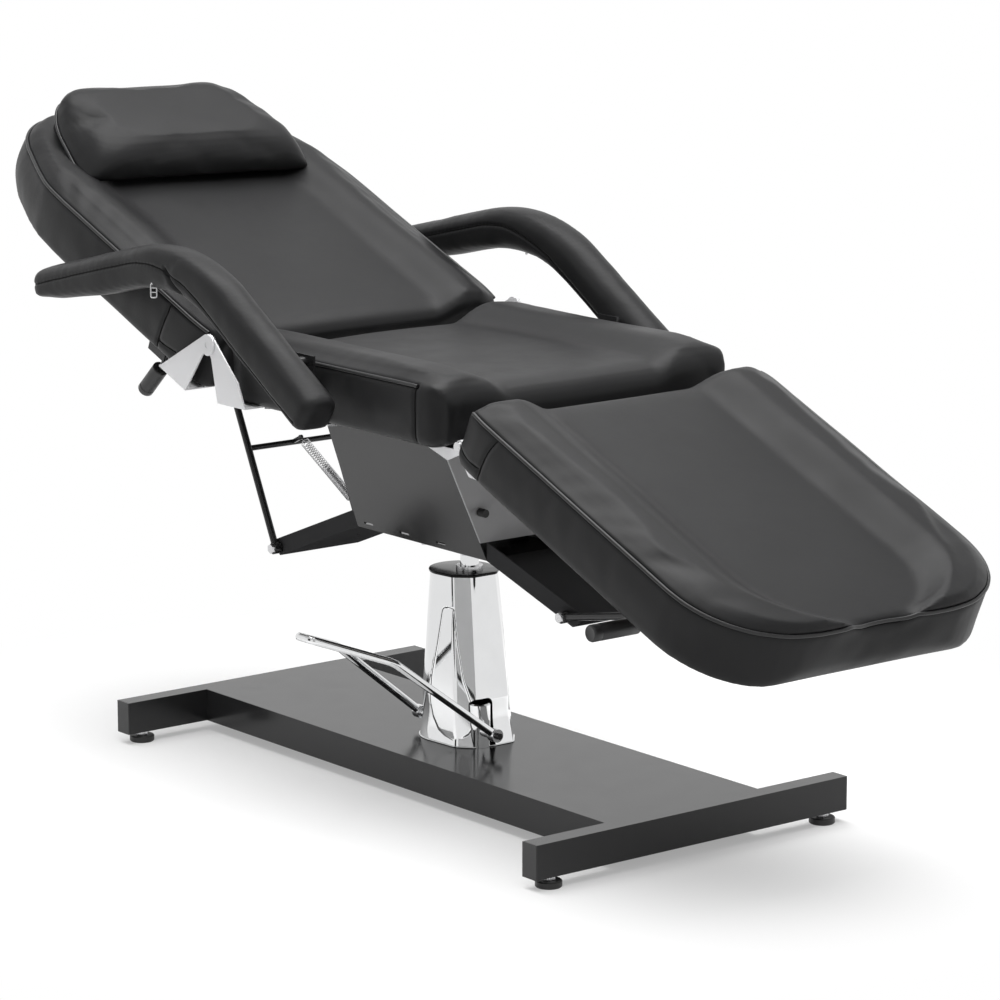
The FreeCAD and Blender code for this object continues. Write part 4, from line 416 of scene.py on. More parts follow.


# Steel parts that look different from the others of their material: the cross plate gets a darker copy of the pale
# paint, which is painted shade from the leg rest above it, and the two arm parts a matte black coat
ownFinishes = {"frame_cross_plate": "grey_steel", "frame_arm_front": "matte_black", "frame_arm_rear": "matte_black"}
for entry in frame["record"]["subparts"]:
    part = nodes[entry["node"]]
    part.data.materials.clear()
    part.data.materials.append(finishes[ownFinishes.get(entry["node"], entry["material_slot"])])
print("materials: made and given to the frame's own parts")


# Cushions

def edgeProfile(halfWidth, low, top, bow, values):
    # half a section of a cushion, from the middle of its underside to the middle of its face
    under, upper = values["underRadius"], values["topRadius"]
    sideLow, sideHigh = low + under, top - upper
    points = [(x, low) for x in np.linspace(0, halfWidth - under, 12)]
    points += [(halfWidth - under + under * math.sin(a), low + under - under * math.cos(a))
               for a in np.linspace(0, math.pi / 2, 5)[1:]]
    points += [(halfWidth - bow * math.sin(math.pi * t), sideLow + (sideHigh - sideLow) * t)
               for t in np.linspace(0, 1, 9)[1:-1]]
    points += [(halfWidth - upper + upper * math.cos(a), sideHigh + upper * math.sin(a))
               for a in np.linspace(0, math.pi / 2, 6)]
    return points + [(x, top) for x in np.linspace(halfWidth - upper, 0, 26)[1:]]


def faceHeight(x, halfWidth, values):
    # height of the face over its plain level: a roll down each side and a hollow between
    inward, width = halfWidth - abs(x), values["rollWidth"]
    up, (fallStart, fallEnd) = values["rollUp"], values["rollFall"]
    roll = values["rollRise"] * float(ease(0, width * up, inward))
    fall = (values["rollRise"] + values["hollow"]) * float(ease(width * fallStart, width * fallEnd, inward))
    crown = values["crown"] * max(0.0, 1 - (x / halfWidth) ** 2)
    return roll - fall + crown


def cushionBlank(name, values):
    # the cushion before it is swelled, ring by ring along its length
    start, length = values["start"], values["length"]
    startRound, endRound = values["startRound"], values["endRound"]
    marks = [startRound * (1 - math.cos(a)) for a in np.linspace(0, math.pi / 2, 9)]
    marks += list(np.linspace(startRound, length - endRound, 60)[1:-1])
    marks += [length - endRound * (1 - math.cos(a)) for a in np.linspace(math.pi / 2, 0, 9)]
    rings = []
    for mark in marks:
        half = values["halfWidth"] * lookUp(values["plan"], mark / length)
        drop = 0.0
        for reach, near in ((startRound, mark), (endRound, length - mark)):
            if near < reach:
                drop = reach - math.sqrt(max(reach ** 2 - (reach - near) ** 2, 0))
        low, top = values["low"], values["low"] + values["thick"]
        slantLength, slantHeight = values["slant"]
        under = min(drop, values["underRadius"]) + slantHeight * (1 - min(mark / slantLength, 1)) ** 1.6
        bulge = values["headBulge"] * float(ease(*values["bulgeFrom"], mark / length))
        profile = edgeProfile(half, low + under, top - drop, values["bow"] - bulge, values)
        ring = []
        for x, z in profile + [(-x, z) for x, z in profile[::-1][1:-1]]:
            lift = faceHeight(x, half, values) * ease(top - drop - values["faceDepth"], top - drop, z)
            if lift > 0:
                lift *= 1 - values["fade"] * (1 - ease(0, values["fadeLength"], mark / length))
            ring.append((x, start + mark, z + float(lift)))
        rings.append(ring)
    return loft(name, rings)


def remesh(piece, voxel):
    modify(piece, "REMESH", mode="VOXEL", voxel_size=voxel, use_smooth_shade=True)


def swell(piece, values, held):
    # inflates the cushion as sewn cloth: the seams and the underside are held
    group = piece.vertex_groups.new(name="held")
    group.add([int(i) for i in np.nonzero(held)[0]], 1.0, "REPLACE")
    before = spots(piece)
    cloth = piece.modifiers.new("swell", "CLOTH")
    settings = cloth.settings
    settings.quality = values["quality"]
    settings.mass = values["mass"]
    settings.tension_stiffness = values["stiffness"]
    settings.compression_stiffness = values["stiffness"]
    settings.bending_stiffness = values["bending"]
    settings.use_pressure = True
    settings.uniform_pressure_force = values["pressure"]
    settings.shrink_min = -values["slack"]
    settings.shrink_max = -values["slack"]
    settings.vertex_group_mass = "held"
    settings.effector_weights.gravity = 0
    cloth.collision_settings.use_collision = False
    cloth.point_cache.frame_start = 1
    cloth.point_cache.frame_end = values["frames"]
    for number in range(1, values["frames"] + 1):
        scene.frame_set(number)
    graph = bpy.context.evaluated_depsgraph_get()
    move = vertexRows(piece.evaluated_get(graph).data, "co") - before
    piece.modifiers.clear()
    scene.frame_set(1)
    # the swelling is evened out between neighbours, so that no wrinkle stays, and then capped
    pairs = np.zeros(len(piece.data.edges) * 2, int)
    piece.data.edges.foreach_get("vertices", pairs)
    one, other = pairs.reshape(-1, 2).T
    shares = np.bincount(pairs, minlength=len(before))[:, None] + 1
    for _ in range(values["evening"]):
        total = move.copy()
        for k in range(3):
            total[:, k] += np.bincount(one, move[other, k], len(before))
            total[:, k] += np.bincount(other, move[one, k], len(before))
        move = total / shares
    size = np.linalg.norm(move, axis=1, keepdims=True)
    move *= np.minimum(1, values["cap"] / np.maximum(size, 1e-9))
    move[held] = 0
    setSpots(piece, before + move)
    print(piece.name, "swelled by up to", round(float(size.max()) * 1000, 1), "mm, capped")


def subdivide(piece):
    modify(piece, "SUBSURF", levels=1, render_levels=1)
    smooth(piece.data)


def nearLine(places, path):
    # for each place: distance to a line of points, and how far along it that is
    tree = KDTree(len(path))
    for i, point in enumerate(path):
        tree.insert(point, i)
    tree.balance()
    found = [tree.find(p) for p in places]
    return np.array([f[2] for f in found]), distances(path)[[f[1] for f in found]]


def onSurface(piece, path, rise=0.0, evening=6):
    # drops a line of points on the piece's skin
    skin = BVHTree.FromObject(piece, bpy.context.evaluated_depsgraph_get())
    line = []
    for point in path:
        place, normal, _, _ = skin.find_nearest(Vector(point))
        line.append(place + normal * rise)
    return softened(np.array(line), evening)


def sewSeam(piece, path, values):
    # a groove along a seam, with short gathers beside it
    places, outside = spots(piece), vertexRows(piece.data, "normal")
    low, high = path.min(0) - values["touched"], path.max(0) + values["touched"]
    near = np.nonzero(((places > low) & (places < high)).all(1))[0]
    gap, along = nearLine(places[near], path)
    groove = values["depth"] * np.exp(-(gap / values["width"]) ** 2)
    sway = values["sway"] * np.sin(along * values["swayRate"] + values["phase"])
    wave = np.sin(along * math.tau / values["gatherPitch"] + sway)
    patch = 0.5 + 0.5 * np.sin(along * values["patch"] + values["phase"])
    gather = values["gather"] * wave * patch * np.exp(-((gap - values["reach"]) / values["reach"]) ** 2)
    places[near] -= outside[near] * (groove + gather)[:, None]
    setSpots(piece, places)


def ruffle(piece, values):
    # slow unevenness of foam under the cover
    places, outside = spots(piece), vertexRows(piece.data, "normal")
    rise = np.array([noise.noise(Vector(p) * values["scale"] + Vector(values["seed"])) for p in places])
    setSpots(piece, places + outside * (rise * values["height"])[:, None])


def boardPocket(piece, boardNode, space, low, values):
    # lifts the underside clear of the plywood board that sits in it
    board = nodes[boardNode]
    plan = [(space.inverted() @ board.matrix_world @ v.co).to_2d() for v in board.data.vertices]
    hull = np.array([plan[i] for i in convex_hull_2d(plan)])
    middle = hull.mean(0)
    edges = np.roll(hull, -1, axis=0) - hull
    lengths = np.linalg.norm(edges, axis=1)
    hull, edges, lengths = (rows[lengths > 1e-6] for rows in (hull, edges, lengths))  # no repeated corners
    side = np.stack([edges[:, 1], -edges[:, 0]], 1) / lengths[:, None]
    side *= np.sign(((hull - middle) * side).sum(1))[:, None]
    places = spots(piece)
    outside = np.max([(places[:, :2] - corner) @ way for corner, way in zip(hull, side)], axis=0)
    inside = (outside < values["clear"]) & (places[:, 2] < low + values["skin"])
    places[inside, 2] = low + values["depth"]
    setSpots(piece, places)


swellValues = {"quality": 5, "mass": 0.3, "stiffness": 15, "bending": 3.0, "pressure": 4.0, "slack": 0.004,
               "frames": 20, "cap": 0.005, "evening": 5}
seamValues = {"depth": 0.0024, "width": 0.0032, "gather": 0.00010, "gatherPitch": 0.034, "reach": 0.011,
              "patch": 9.0, "sway": 2.1, "swayRate": 37.0, "touched": 0.05, "phase": 0.3}
pocketValues = {"clear": 0.003, "skin": 0.004, "depth": 0.0158}
pipingRadius = 0.0027
pipingRise = pipingRadius * 0.9
threadRadius, threadRise = 0.0008, 0.0002
crossSeamPhase, armrestPhase = 1.7, 0.9  # so that the gathers of two seams differ
pipedStep, seamStep, pinchStep = 0.003, 0.002, 0.002  # distance between the points of a line
# What the cushions share; each one's own values go over these
cushionBase = {
    "rollUp": 0.30, "rollFall": (0.62, 1.22),  # in widths of the roll, from the edge
    "headBulge": 0.0, "bulgeFrom": (0.70, 0.86), "faceDepth": 0.020, "fade": 0.0, "fadeLength": 0.20,
    "topRadius": 0.007, "voxel": 0.006, "heldHeight": 0.012, "heldSeam": 0.006, "swell": {},
}


def sideLine(values, level, first, last, sign):
    # the line along a cushion's edge at a level, as shares of its length
    return [(sign * values["halfWidth"] * lookUp(values["plan"], mark), values["start"] + values["length"] * mark,
             level) for mark in np.linspace(first, last, 60)]


def sewThread(name, piece, path, evening):
    return tube(name, onSurface(piece, path, threadRise, evening), threadRadius, 8)


def sewnCushion(piece, values, space, body, node):
    # from a blank to a finished cushion with its seams and piping
    name = piece.name
    remesh(piece, values["voxel"])
    lines = [evenly(line, pipedStep) for line in values["piped"]]
    held = spots(piece)[:, 2] < values["low"] + values["heldHeight"]
    for line in lines:
        held |= nearLine(spots(piece), line)[0] < values["heldSeam"]
    swell(piece, {**swellValues, **values["swell"]}, held)
    subdivide(piece)
    ruffle(piece, values["ruffle"])
    dropped = [onSurface(piece, line) for line in lines]
    for number, line in enumerate(dropped):
        sewSeam(piece, line, {**seamValues, "phase": seamValues["phase"] + number})
    for number, seam in enumerate(values["seams"]):
        path = onSurface(piece, evenly(seam["path"], seamStep), 0, 3)
        sewSeam(piece, path, {**seamValues, **seam, "phase": crossSeamPhase + number})
        dress(sewThread("%sSeam%d" % (name, number), piece, path, 4), body, "thread", space)
    cords = [tube("%sPiping%d" % (name, number), onSurface(piece, line, pipingRise, 8), pipingRadius, 12)
             for number, line in enumerate(dropped)]
    if "board" in values:
        boardPocket(piece, values["board"], space, values["low"], pocketValues)
    dress(piece, body, "upholstery", space)
    for cord in cords:
        dress(cord, body, "piping", space)
    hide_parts(node)
    print(name + ": made")


seatValues = {
    **cushionBase,
    "plan": [(0.0, 0.95), (0.02, 0.975), (0.06, 0.995), (0.12, 1.0), (0.93, 1.0), (0.98, 0.99), (1.0, 0.97)],
    "start": -0.280, "length": 0.515, "halfWidth": 0.270, "low": 0.576, "thick": 0.088,
    "startRound": 0.030, "endRound": 0.014, "underRadius": 0.008, "bow": 0.002, "fade": 0.75,
    "rollWidth": 0.108, "rollRise": 0.011, "hollow": 0.014, "crown": 0.002, "slant": (0.03, 0.0),
    "fill": 0.7, "board": "seat_board",
    "ruffle": {"scale": 9.0, "height": 0.0012, "seed": (3.1, 0.4, 7.7)},
}
seatValues["piped"] = [sideLine(seatValues, 0.662, 0.11, 1.0, sign) for sign in (-1, 1)]
seatValues["seams"] = [{"path": [(sign * 0.272, -0.222, z) for z in np.linspace(0.664, 0.578, 12)],
                        "gather": 0.0004} for sign in (-1, 1)]

backValues = {
    **cushionBase,
    "plan": [(0.0, 0.95), (0.03, 0.985), (0.08, 1.0), (0.63, 1.0), (0.71, 0.985), (0.77, 0.945),
             (0.82, 0.902), (0.873, 0.857), (0.92, 0.80), (0.955, 0.725), (0.985, 0.62), (1.0, 0.48)],
    "start": 0.008, "length": 0.695, "halfWidth": 0.275, "low": -0.090, "thick": 0.095,
    "startRound": 0.020, "endRound": 0.020, "underRadius": 0.010, "bow": 0.001, "headBulge": 0.009,
    "rollWidth": 0.096, "rollRise": 0.013, "hollow": 0.009, "crown": 0.002, "slant": (0.03, 0.0),
    "fill": 0.7, "board": "back_board",
    "ruffle": {"scale": 8.0, "height": 0.0013, "seed": (0.2, 5.5, 1.9)},
}
backEdge = sideLine(backValues, 0.003, 0.03, 0.992, -1)
backValues["piped"] = [backEdge + [(-x, y, z) for x, y, z in backEdge[::-1]]]
backValues["seams"] = [
    {"path": [(-0.277, a, b) for a, b in ((0.126, 0.0), (0.128, -0.020), (0.132, -0.045), (0.137, -0.070),
                                          (0.140, -0.086))]},
    {"path": [(-0.277, a, b) for a, b in ((0.136, -0.070), (0.111, -0.069), (0.088, -0.065))]},
    {"path": [(0.277, a, b) for a, b in ((0.126, 0.0), (0.128, -0.020), (0.132, -0.045), (0.140, -0.086))]}]

legValues = {
    **cushionBase,
    "plan": [(0.0, 0.52), (0.006, 0.58), (0.014, 0.64), (0.036, 0.75), (0.058, 0.82), (0.085, 0.88),
             (0.11, 0.92), (0.135, 0.95), (0.18, 0.985), (0.23, 1.0), (0.94, 1.0), (0.98, 0.985), (1.0, 0.965)],
    "start": -0.6215, "length": 0.609, "halfWidth": 0.270, "low": -0.0107, "thick": 0.0890,
    "startRound": 0.014, "endRound": 0.022, "underRadius": 0.009, "bow": 0.001,
    "rollWidth": 0.112, "rollRise": 0.012, "hollow": 0.012, "crown": 0.001, "slant": (0.021, 0.017),
    "fill": 0.75, "board": "leg_board",
    "ruffle": {"scale": 8.0, "height": 0.0010, "seed": (8.2, 2.5, 4.9)},
}
legEdge = sideLine(legValues, 0.075, 0.978, 0.006, -1)
legValues["piped"] = [legEdge + [(-x, y, z) for x, y, z in legEdge[::-1]]]
legValues["seams"] = [
    {"path": [(sign * 0.272, a, b) for a, b in ((-0.093, 0.072), (-0.083, 0.045), (-0.077, 0.018),
                                                (-0.074, -0.008))]} for sign in (-1, 1)]
legValues["seams"] += [
    {"path": [(sign * 0.272, a, b) for a, b in ((-0.014, 0.014), (-0.030, 0.010), (-0.050, 0.009),
                                                (-0.072, 0.012))]} for sign in (-1, 1)]

for cushionName, cushionValues, cushionSpace, cushionBody, cushionNode in (
        ("seatCushion", seatValues, pumpSpace, "seat", "seat_pad"),
        ("backCushion", backValues, backSpace, "back_rest", "back_pad"),
        ("legCushion", legValues, legSpace, "leg_rest", "leg_pad")):
    sewnCushion(cushionBlank(cushionName, cushionValues), cushionValues, cushionSpace, cushionBody, cushionNode)


# Pillow: its outline over the middle and at either end, seen from the side, in metres along the
# rest and up from it; the ends are side panels that grow from nothing at the front corners

pillowValues = {
    "middle": [(0.460, 0.016), (0.458, 0.032), (0.461, 0.047), (0.470, 0.060), (0.486, 0.069), (0.512, 0.0755),
               (0.545, 0.081), (0.580, 0.086), (0.610, 0.090), (0.632, 0.091), (0.646, 0.087), (0.654, 0.077),
               (0.658, 0.060), (0.659, 0.038), (0.657, 0.018)],
    "side": [(0.470, 0.016), (0.477, 0.017), (0.487, 0.018), (0.499, 0.019), (0.511, 0.022), (0.525, 0.026),
             (0.545, 0.031), (0.570, 0.036), (0.597, 0.045), (0.618, 0.057), (0.633, 0.062), (0.645, 0.058),
             (0.652, 0.047), (0.655, 0.034), (0.655, 0.018)],
    "left": [(0.460, 0.206), (0.520, 0.208), (0.560, 0.207), (0.600, 0.204), (0.620, 0.197), (0.638, 0.178),
             (0.650, 0.145), (0.660, 0.095)],
    "right": [(0.460, 0.196), (0.520, 0.196), (0.560, 0.185), (0.580, 0.176), (0.600, 0.166), (0.620, 0.151),
              (0.638, 0.130), (0.650, 0.104), (0.660, 0.065)],
    "lean": (1.03, 0.09, 0.045), "leanPower": 6,
    "low": 0.0140, "turn": 0.055, "square": 8.0, "round": 0.42, "pipedAbove": 0.017,
    "voxel": 0.005, "heldHeight": 0.006, "heldSeam": 0.006, "swell": {}, "fill": 0.6,
    "ruffle": {"scale": 13.0, "height": 0.0013, "seed": (2.2, 6.1, 0.3)}, "seams": [],
}


def pillowRing(values, share):
    # one outline of the pillow, at a share of its width
    weight = (1 - abs(share) ** values["square"]) ** values["round"] if abs(share) < 1 else 0.0
    middle, side = np.array(values["middle"]), np.array(values["side"])
    upper = side * (1 - weight) + middle * weight
    count = len(upper) - 1
    marks = np.linspace(0, count, 4 * count + 1)
    upper = softened(np.stack([np.interp(marks, np.arange(count + 1), upper[:, k]) for k in range(2)], 1), 6)
    under = [(y, values["low"]) for y in np.linspace(upper[-1][0] - 0.004, upper[0][0] + 0.004, 24)]
    foot, draw, height = values["lean"]
    ring = []
    for y, z in list(upper) + under:
        x = share * lookUp(values["left" if share < 0 else "right"], y)
        x *= foot - draw * min((z - values["low"]) / height, 1) * abs(share) ** values["leanPower"]
        ring.append((x, y - values["turn"] * x, z))
    return ring


def pillowBlank(name, values):
    shares = np.sin(np.linspace(-1, 1, 61) * math.pi / 2)
    piece = loft(name, [pillowRing(values, float(share)) for share in shares])
    outward(piece)
    return piece


pillowValues["piped"] = [[p for p in pillowRing(pillowValues, way) if p[2] > pillowValues["pipedAbove"]]
                         for way in (-1.0, 1.0)]
sewnCushion(pillowBlank("headPillow", pillowValues), pillowValues, backSpace, "head_pillow", "pillow")


# Armrests: a sleeve round a bent steel tube, seen from the side as two straight runs and a bend

armrestValues = {
    "x": 0.330, "low": (-0.060, 0.614), "knee": (0.237, 0.799), "tip": (0.632, 0.704), "bend": 0.290,
    "halfWidth": 0.0310, "halfThick": 0.0262, "lowReach": 0.017, "tipReach": 0.031, "lowInset": -0.005,
    "tipInset": 0.027, "deeper": [(0.0, 0.004), (0.35, 0.006), (0.55, 0.008), (0.8, 0.003), (0.95, -0.005),
                                  (1.0, -0.010)],
    "seam": [(0.0, -0.021), (0.10, -0.025), (0.35, -0.021), (0.47, -0.010), (0.56, 0.000), (0.64, 0.004),
             (0.85, 0.005), (1.0, 0.004)],
    "pinch": [(0.262, 0.776), (0.250, 0.762), (0.238, 0.750), (0.226, 0.740)],
    "lowRound": 0.38, "tipRound": 0.62, "seamEnd": 0.92,
    "voxel": 0.0045, "heldSeam": 0.005, "swell": {"cap": 0.003, "pressure": 5.0}, "fill": 0.8,
    "seams": {"width": 0.0025}, "pinched": {"depth": 0.0060, "gather": 0.0010, "gatherPitch": 0.05},
    "ruffle": {"scale": 14.0, "height": 0.0011, "seed": (4.4, 1.2, 9.1)},
}
# Right half of its section from below, as shares of half its width and half its thickness
sleeveSection = [(0.0, -1.0), (0.4, -1.0), (0.72, -0.97), (0.9, -0.86), (0.985, -0.62), (1.0, -0.3), (1.0, 0.05),
                 (0.985, 0.34), (0.93, 0.58), (0.8, 0.79), (0.58, 0.92), (0.3, 0.985), (0.0, 1.0)]
sleeveWhole = sleeveSection + [(-x, z) for x, z in sleeveSection[::-1][1:-1]]


def armrestPath(values, step):
    # centre line with its directions, from the low end to the tip
    low, knee, tip = (np.array(values[key]) for key in ("low", "knee", "tip"))
    into, out = (knee - low) / np.linalg.norm(knee - low), (tip - knee) / np.linalg.norm(tip - knee)
    turn = math.acos(float(into @ out))
    cut = values["bend"] * math.tan(turn / 2)
    centre = knee - into * cut + np.array((into[1], -into[0])) * values["bend"]
    first = np.arctan2(*(knee - into * cut - centre)[::-1])
    points = [low + into * values["lowInset"]]
    points += [centre + values["bend"] * np.array((math.cos(first - turn * t), math.sin(first - turn * t)))
               for t in np.linspace(0, 1, 40)]
    points.append(tip - out * values["tipInset"])
    line = evenly([(0, y, z) for y, z in points], step)
    ways = np.gradient(line, axis=0)
    return line, ways / np.linalg.norm(ways, axis=1, keepdims=True)


def sleeveRing(values, share, centre, along, wide, tall):
    up, deeper = np.cross((1, 0, 0), along), lookUp(values["deeper"], share)
    return [centre + np.array((x * wide * values["halfWidth"], 0, 0))
            + up * (z * tall * values["halfThick"] + min(z, 0) * tall * deeper) for x, z in sleeveWhole]


def armrestBlank(name, values):
    line, ways = armrestPath(values, 0.006)
    angles = np.linspace(0.0, math.radians(84), 10)[1:]
    rings = [sleeveRing(values, 0, line[0] - ways[0] * values["lowReach"] * math.sin(a), ways[0],
                        math.cos(a) ** values["lowRound"], math.cos(a) ** values["lowRound"]) for a in angles[::-1]]
    rings += [sleeveRing(values, i / (len(line) - 1), p, w, 1, 1) for i, (p, w) in enumerate(zip(line, ways))]
    rings += [sleeveRing(values, 1, line[-1] + ways[-1] * values["tipReach"] * math.sin(a), ways[-1],
                         math.cos(a), math.cos(a) ** values["tipRound"]) for a in angles]
    piece = loft(name, rings)
    outward(piece)
    return piece


def seamRun(values, side):
    # the seam along one side of the sleeve, from the low end round the tip
    line, ways = armrestPath(values, pipedStep)
    ups = np.array([np.cross((1, 0, 0), w) for w in ways])
    lifts = ups * lookUp(values["seam"], np.linspace(0, 1, len(line)))[:, None]
    run = line + lifts + np.array((side * values["halfWidth"], 0, 0))
    reach = values["tipReach"] * values["seamEnd"]
    last = [line[-1] + lifts[-1] + ways[-1] * reach * math.sin(a) + np.array(
        (side * values["halfWidth"] * math.cos(a), 0, 0)) for a in np.linspace(0.1, 1.5, 14)]
    return np.vstack([run, last])


def mirrored(piece, name):
    # the same piece for the other side
    def flip(form):
        bmesh.ops.scale(form, vec=(-1, 1, 1), verts=form.verts)
        bmesh.ops.reverse_faces(form, faces=form.faces)

    twin = addObject(name, piece.data.copy())
    reshape(twin, flip)
    return twin


def makeArmrests(values):
    # the left one is made, and the right one is its mirror image
    piece = armrestBlank("armrestLeft", values)
    remesh(piece, values["voxel"])
    runs = [evenly(seamRun(values, side), pipedStep) for side in (-1, 1)]
    held = np.zeros(len(piece.data.vertices), bool)
    for run in runs:
        held |= nearLine(spots(piece), run)[0] < values["heldSeam"]
    swell(piece, {**swellValues, **values["swell"]}, held)
    subdivide(piece)
    ruffle(piece, values["ruffle"])
    seams = [onSurface(piece, run, 0, 4) for run in runs]
    for number, seam in enumerate(seams):
        sewSeam(piece, seam, {**seamValues, **values["seams"], "phase": armrestPhase + number})
    pinch = [(-values["halfWidth"], y, z) for y, z in values["pinch"]]
    sewSeam(piece, onSurface(piece, evenly(pinch, pinchStep), 0, 2), {**seamValues, **values["pinched"]})
    threads = [sewThread("armrestSeam%d" % number, piece, seam, 6) for number, seam in enumerate(seams)]
    thread = joinPieces(threads[0], threads[1:])
    thread.name = "armrestSeamLeft"
    for thing in (piece, thread):
        thing.data.transform(Matrix.Translation((-values["x"], pumpY, 0)))
    right, rightThread = mirrored(piece, "armrestRight"), mirrored(thread, "armrestSeamRight")
    for sleeve, cord, node in ((piece, thread, "armrest_pad_left"), (right, rightThread, "armrest_pad_right")):
        dress(sleeve, "seat", "upholstery")
        dress(cord, "seat", "thread")
        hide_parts(node)
    print("armrests: made")


makeArmrests(armrestValues)


# Pump cover: a chrome pressing with an arched panel on each side, and its black lid

coverValues = {
    "foot": 0.067, "height": 0.253, "wall": 0.0016, "rows": 140, "edgeRadius": 0.005, "backPoints": 37,
    "sidePoints": (38, 26, 20), "cornerPoints": 9,
    "low": {"half": 0.0605, "centre": 0.024, "shoulder": (0.0565, 0.0358), "front": (0.0318, 0.0655)},
    "top": {"half": 0.0475, "centre": 0.018, "shoulder": (0.0435, 0.0138), "front": (0.0198, 0.0355)},
    "archRaise": 0.0014, "archEdge": 0.0011, "skirtBulge": 0.0028, "skirtHeight": 0.070,
    # the dark line in the arch's crease is painted shade: its radius, and where along the outline it starts and ends
    "creaseShade": 0.0006, "creaseShadeStart": 10, "creaseShadeEnd": 7, "rimRadius": 0.0011, "lidOverhang": 0.0022,
    "glandRadius": 0.0203,
}
# Outline of the arched panel: distance forward of the shoulder, and height over the foot
archOutline = [(-0.021, 0.204), (-0.010, 0.207), (0.001, 0.206), (0.0064, 0.150), (0.014, 0.100), (0.026, 0.064),
               (0.031, 0.048), (0.030, 0.034), (0.021, 0.020), (0.008, 0.012), (-0.006, 0.010), (-0.022, 0.013),
               (-0.038, 0.021), (-0.049, 0.038), (-0.054, 0.060), (-0.048, 0.100), (-0.034, 0.150)]


def coverPlan(values, share, grow=0.0):
    # half of the cover's plan at a share of its height, from the middle of the back round the left
    def between(key):
        return np.array(values["low"][key]) * (1 - share) + np.array(values["top"][key]) * share

    half, centre = float(between("half")) + grow, float(between("centre"))
    shoulder, front = between("shoulder") + grow, between("front") + grow
    points = [np.array((-half * math.sin(a), centre + half * math.cos(a)))
              for a in np.linspace(0, math.pi / 2, values["backPoints"])]
    start, corners = points[-1], [-shoulder, -front, np.array((0, -front[1]))]
    for corner, after, count in zip(corners, corners[1:] + [None], values["sidePoints"]):
        way = (corner - start) / np.linalg.norm(corner - start)
        stop = corner if after is None else corner - way * values["edgeRadius"]
        points += [start + (stop - start) * t for t in np.linspace(0, 1, count)[1:]]
        if after is not None:
            start = corner + (after - corner) / np.linalg.norm(after - corner) * values["edgeRadius"]
            points += [cornerPoint(stop, corner, start, t) for t in np.linspace(0, 1, values["cornerPoints"])[1:]]
    return np.array(points)


def shoulderAt(values, steps):
    # how far round the plan the middle of the shoulder's rounding is
    return steps[values["backPoints"] - 1 + values["sidePoints"][0] - 1 + (values["cornerPoints"] - 1) // 2]


def shapeDepth(places, outline):
    # signed distance inside a closed outline
    outline = np.array(outline)
    ends = np.roll(outline, -1, axis=0)
    best = np.full(len(places), 1.0)
    crossings = np.zeros(len(places), int)
    for a, b in zip(outline, ends):
        run = b - a
        t = np.clip(((places - a) @ run) / (run @ run), 0, 1)
        best = np.minimum(best, np.linalg.norm(places - a - t[:, None] * run, axis=1))
        straddles = (a[1] > places[:, 1]) != (b[1] > places[:, 1])
        level = a[0] + (places[:, 1] - a[1]) * run[0] / (run[1] if run[1] else 1e-9)
        crossings += straddles & (places[:, 0] < level)
    return np.where(crossings % 2 == 1, best, -best)


def coverRow(values, share):
    # one level of the cover, its panel raised and its foot bulged
    line = coverPlan(values, share)
    height = share * values["height"]
    steps = distances(line)
    depth = shapeDepth(np.stack([steps - shoulderAt(values, steps), np.full(len(steps), height)], 1), archOutline)
    inside = ease(-values["archEdge"], values["archEdge"], depth)
    push = values["archRaise"] * inside
    if height < values["skirtHeight"]:
        push = push + values["skirtBulge"] * math.sin(math.pi * height / values["skirtHeight"]) * (1 - inside)
    ahead = np.gradient(line, axis=0)
    side = np.stack([-ahead[:, 1], ahead[:, 0]], 1) / np.linalg.norm(ahead, axis=1, keepdims=True)
    return [(x, y, values["foot"] + height) for x, y in bothHalves(line + side * push[:, None])]


def makeCover(values):
    rows = [coverRow(values, share) for share in np.linspace(0, 1, values["rows"])]
    cover = loft("pumpCover", rows, "open")
    outward(cover)
    modify(cover, "SOLIDIFY", thickness=values["wall"], offset=-1)
    notch = notchTool(notchValues)
    modify(cover, "BOOLEAN", operation="DIFFERENCE", solver="EXACT", object=notch)
    bpy.data.objects.remove(notch)
    crisp(cover, 38)
    dress(cover, "base", "chrome", pumpSpace)
    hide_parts("pump_shroud")
    rim = [(x, y, values["foot"] + values["rimRadius"]) for x, y, _ in rows[0]
           if y >= 0 or abs(x - notchValues["x"]) >= notchValues["half"]]
    dress(tube("coverRim", rim, values["rimRadius"], 10), "base", "chrome", pumpSpace)


def archPlace(values, sign, along, height):
    # a point of the cover's skin at the arch's own coordinates
    line = coverPlan(values, height / values["height"])
    steps = distances(line)
    spot = [np.interp(shoulderAt(values, steps) + along, steps, line[:, k]) for k in range(2)]
    bulge = values["skirtBulge"] * math.sin(math.pi * min(height / values["skirtHeight"], 1))
    out = np.array(spot) / np.linalg.norm(spot) * bulge * 0.5
    return (-sign * (spot[0] + out[0]), spot[1] + out[1], values["foot"] + height)


def makeCreaseShadeLines(values):
    # painted shade: a dark line laid in the arch's crease, down both of its sides and over its head
    skin = bpy.data.objects["pumpCover"]
    order = archOutline[values["creaseShadeStart"]:] + archOutline[:values["creaseShadeEnd"]]
    for sign, side in ((-1, "Left"), (1, "Right")):
        path = [archPlace(values, sign, c, z) for c, z in order]
        path = evenly([pumpSpace @ Vector(p) for p in path], 0.002)
        creaseShade = tube("coverCreaseShade" + side, onSurface(skin, path, -0.0001, 5), values["creaseShade"], 8)
        dress(creaseShade, "base", "black_screws")


notchValues = {"x": -0.020, "half": 0.0180, "low": 0.050, "top": 0.140, "round": 0.010, "front": -0.090,
               "rear": -0.040}


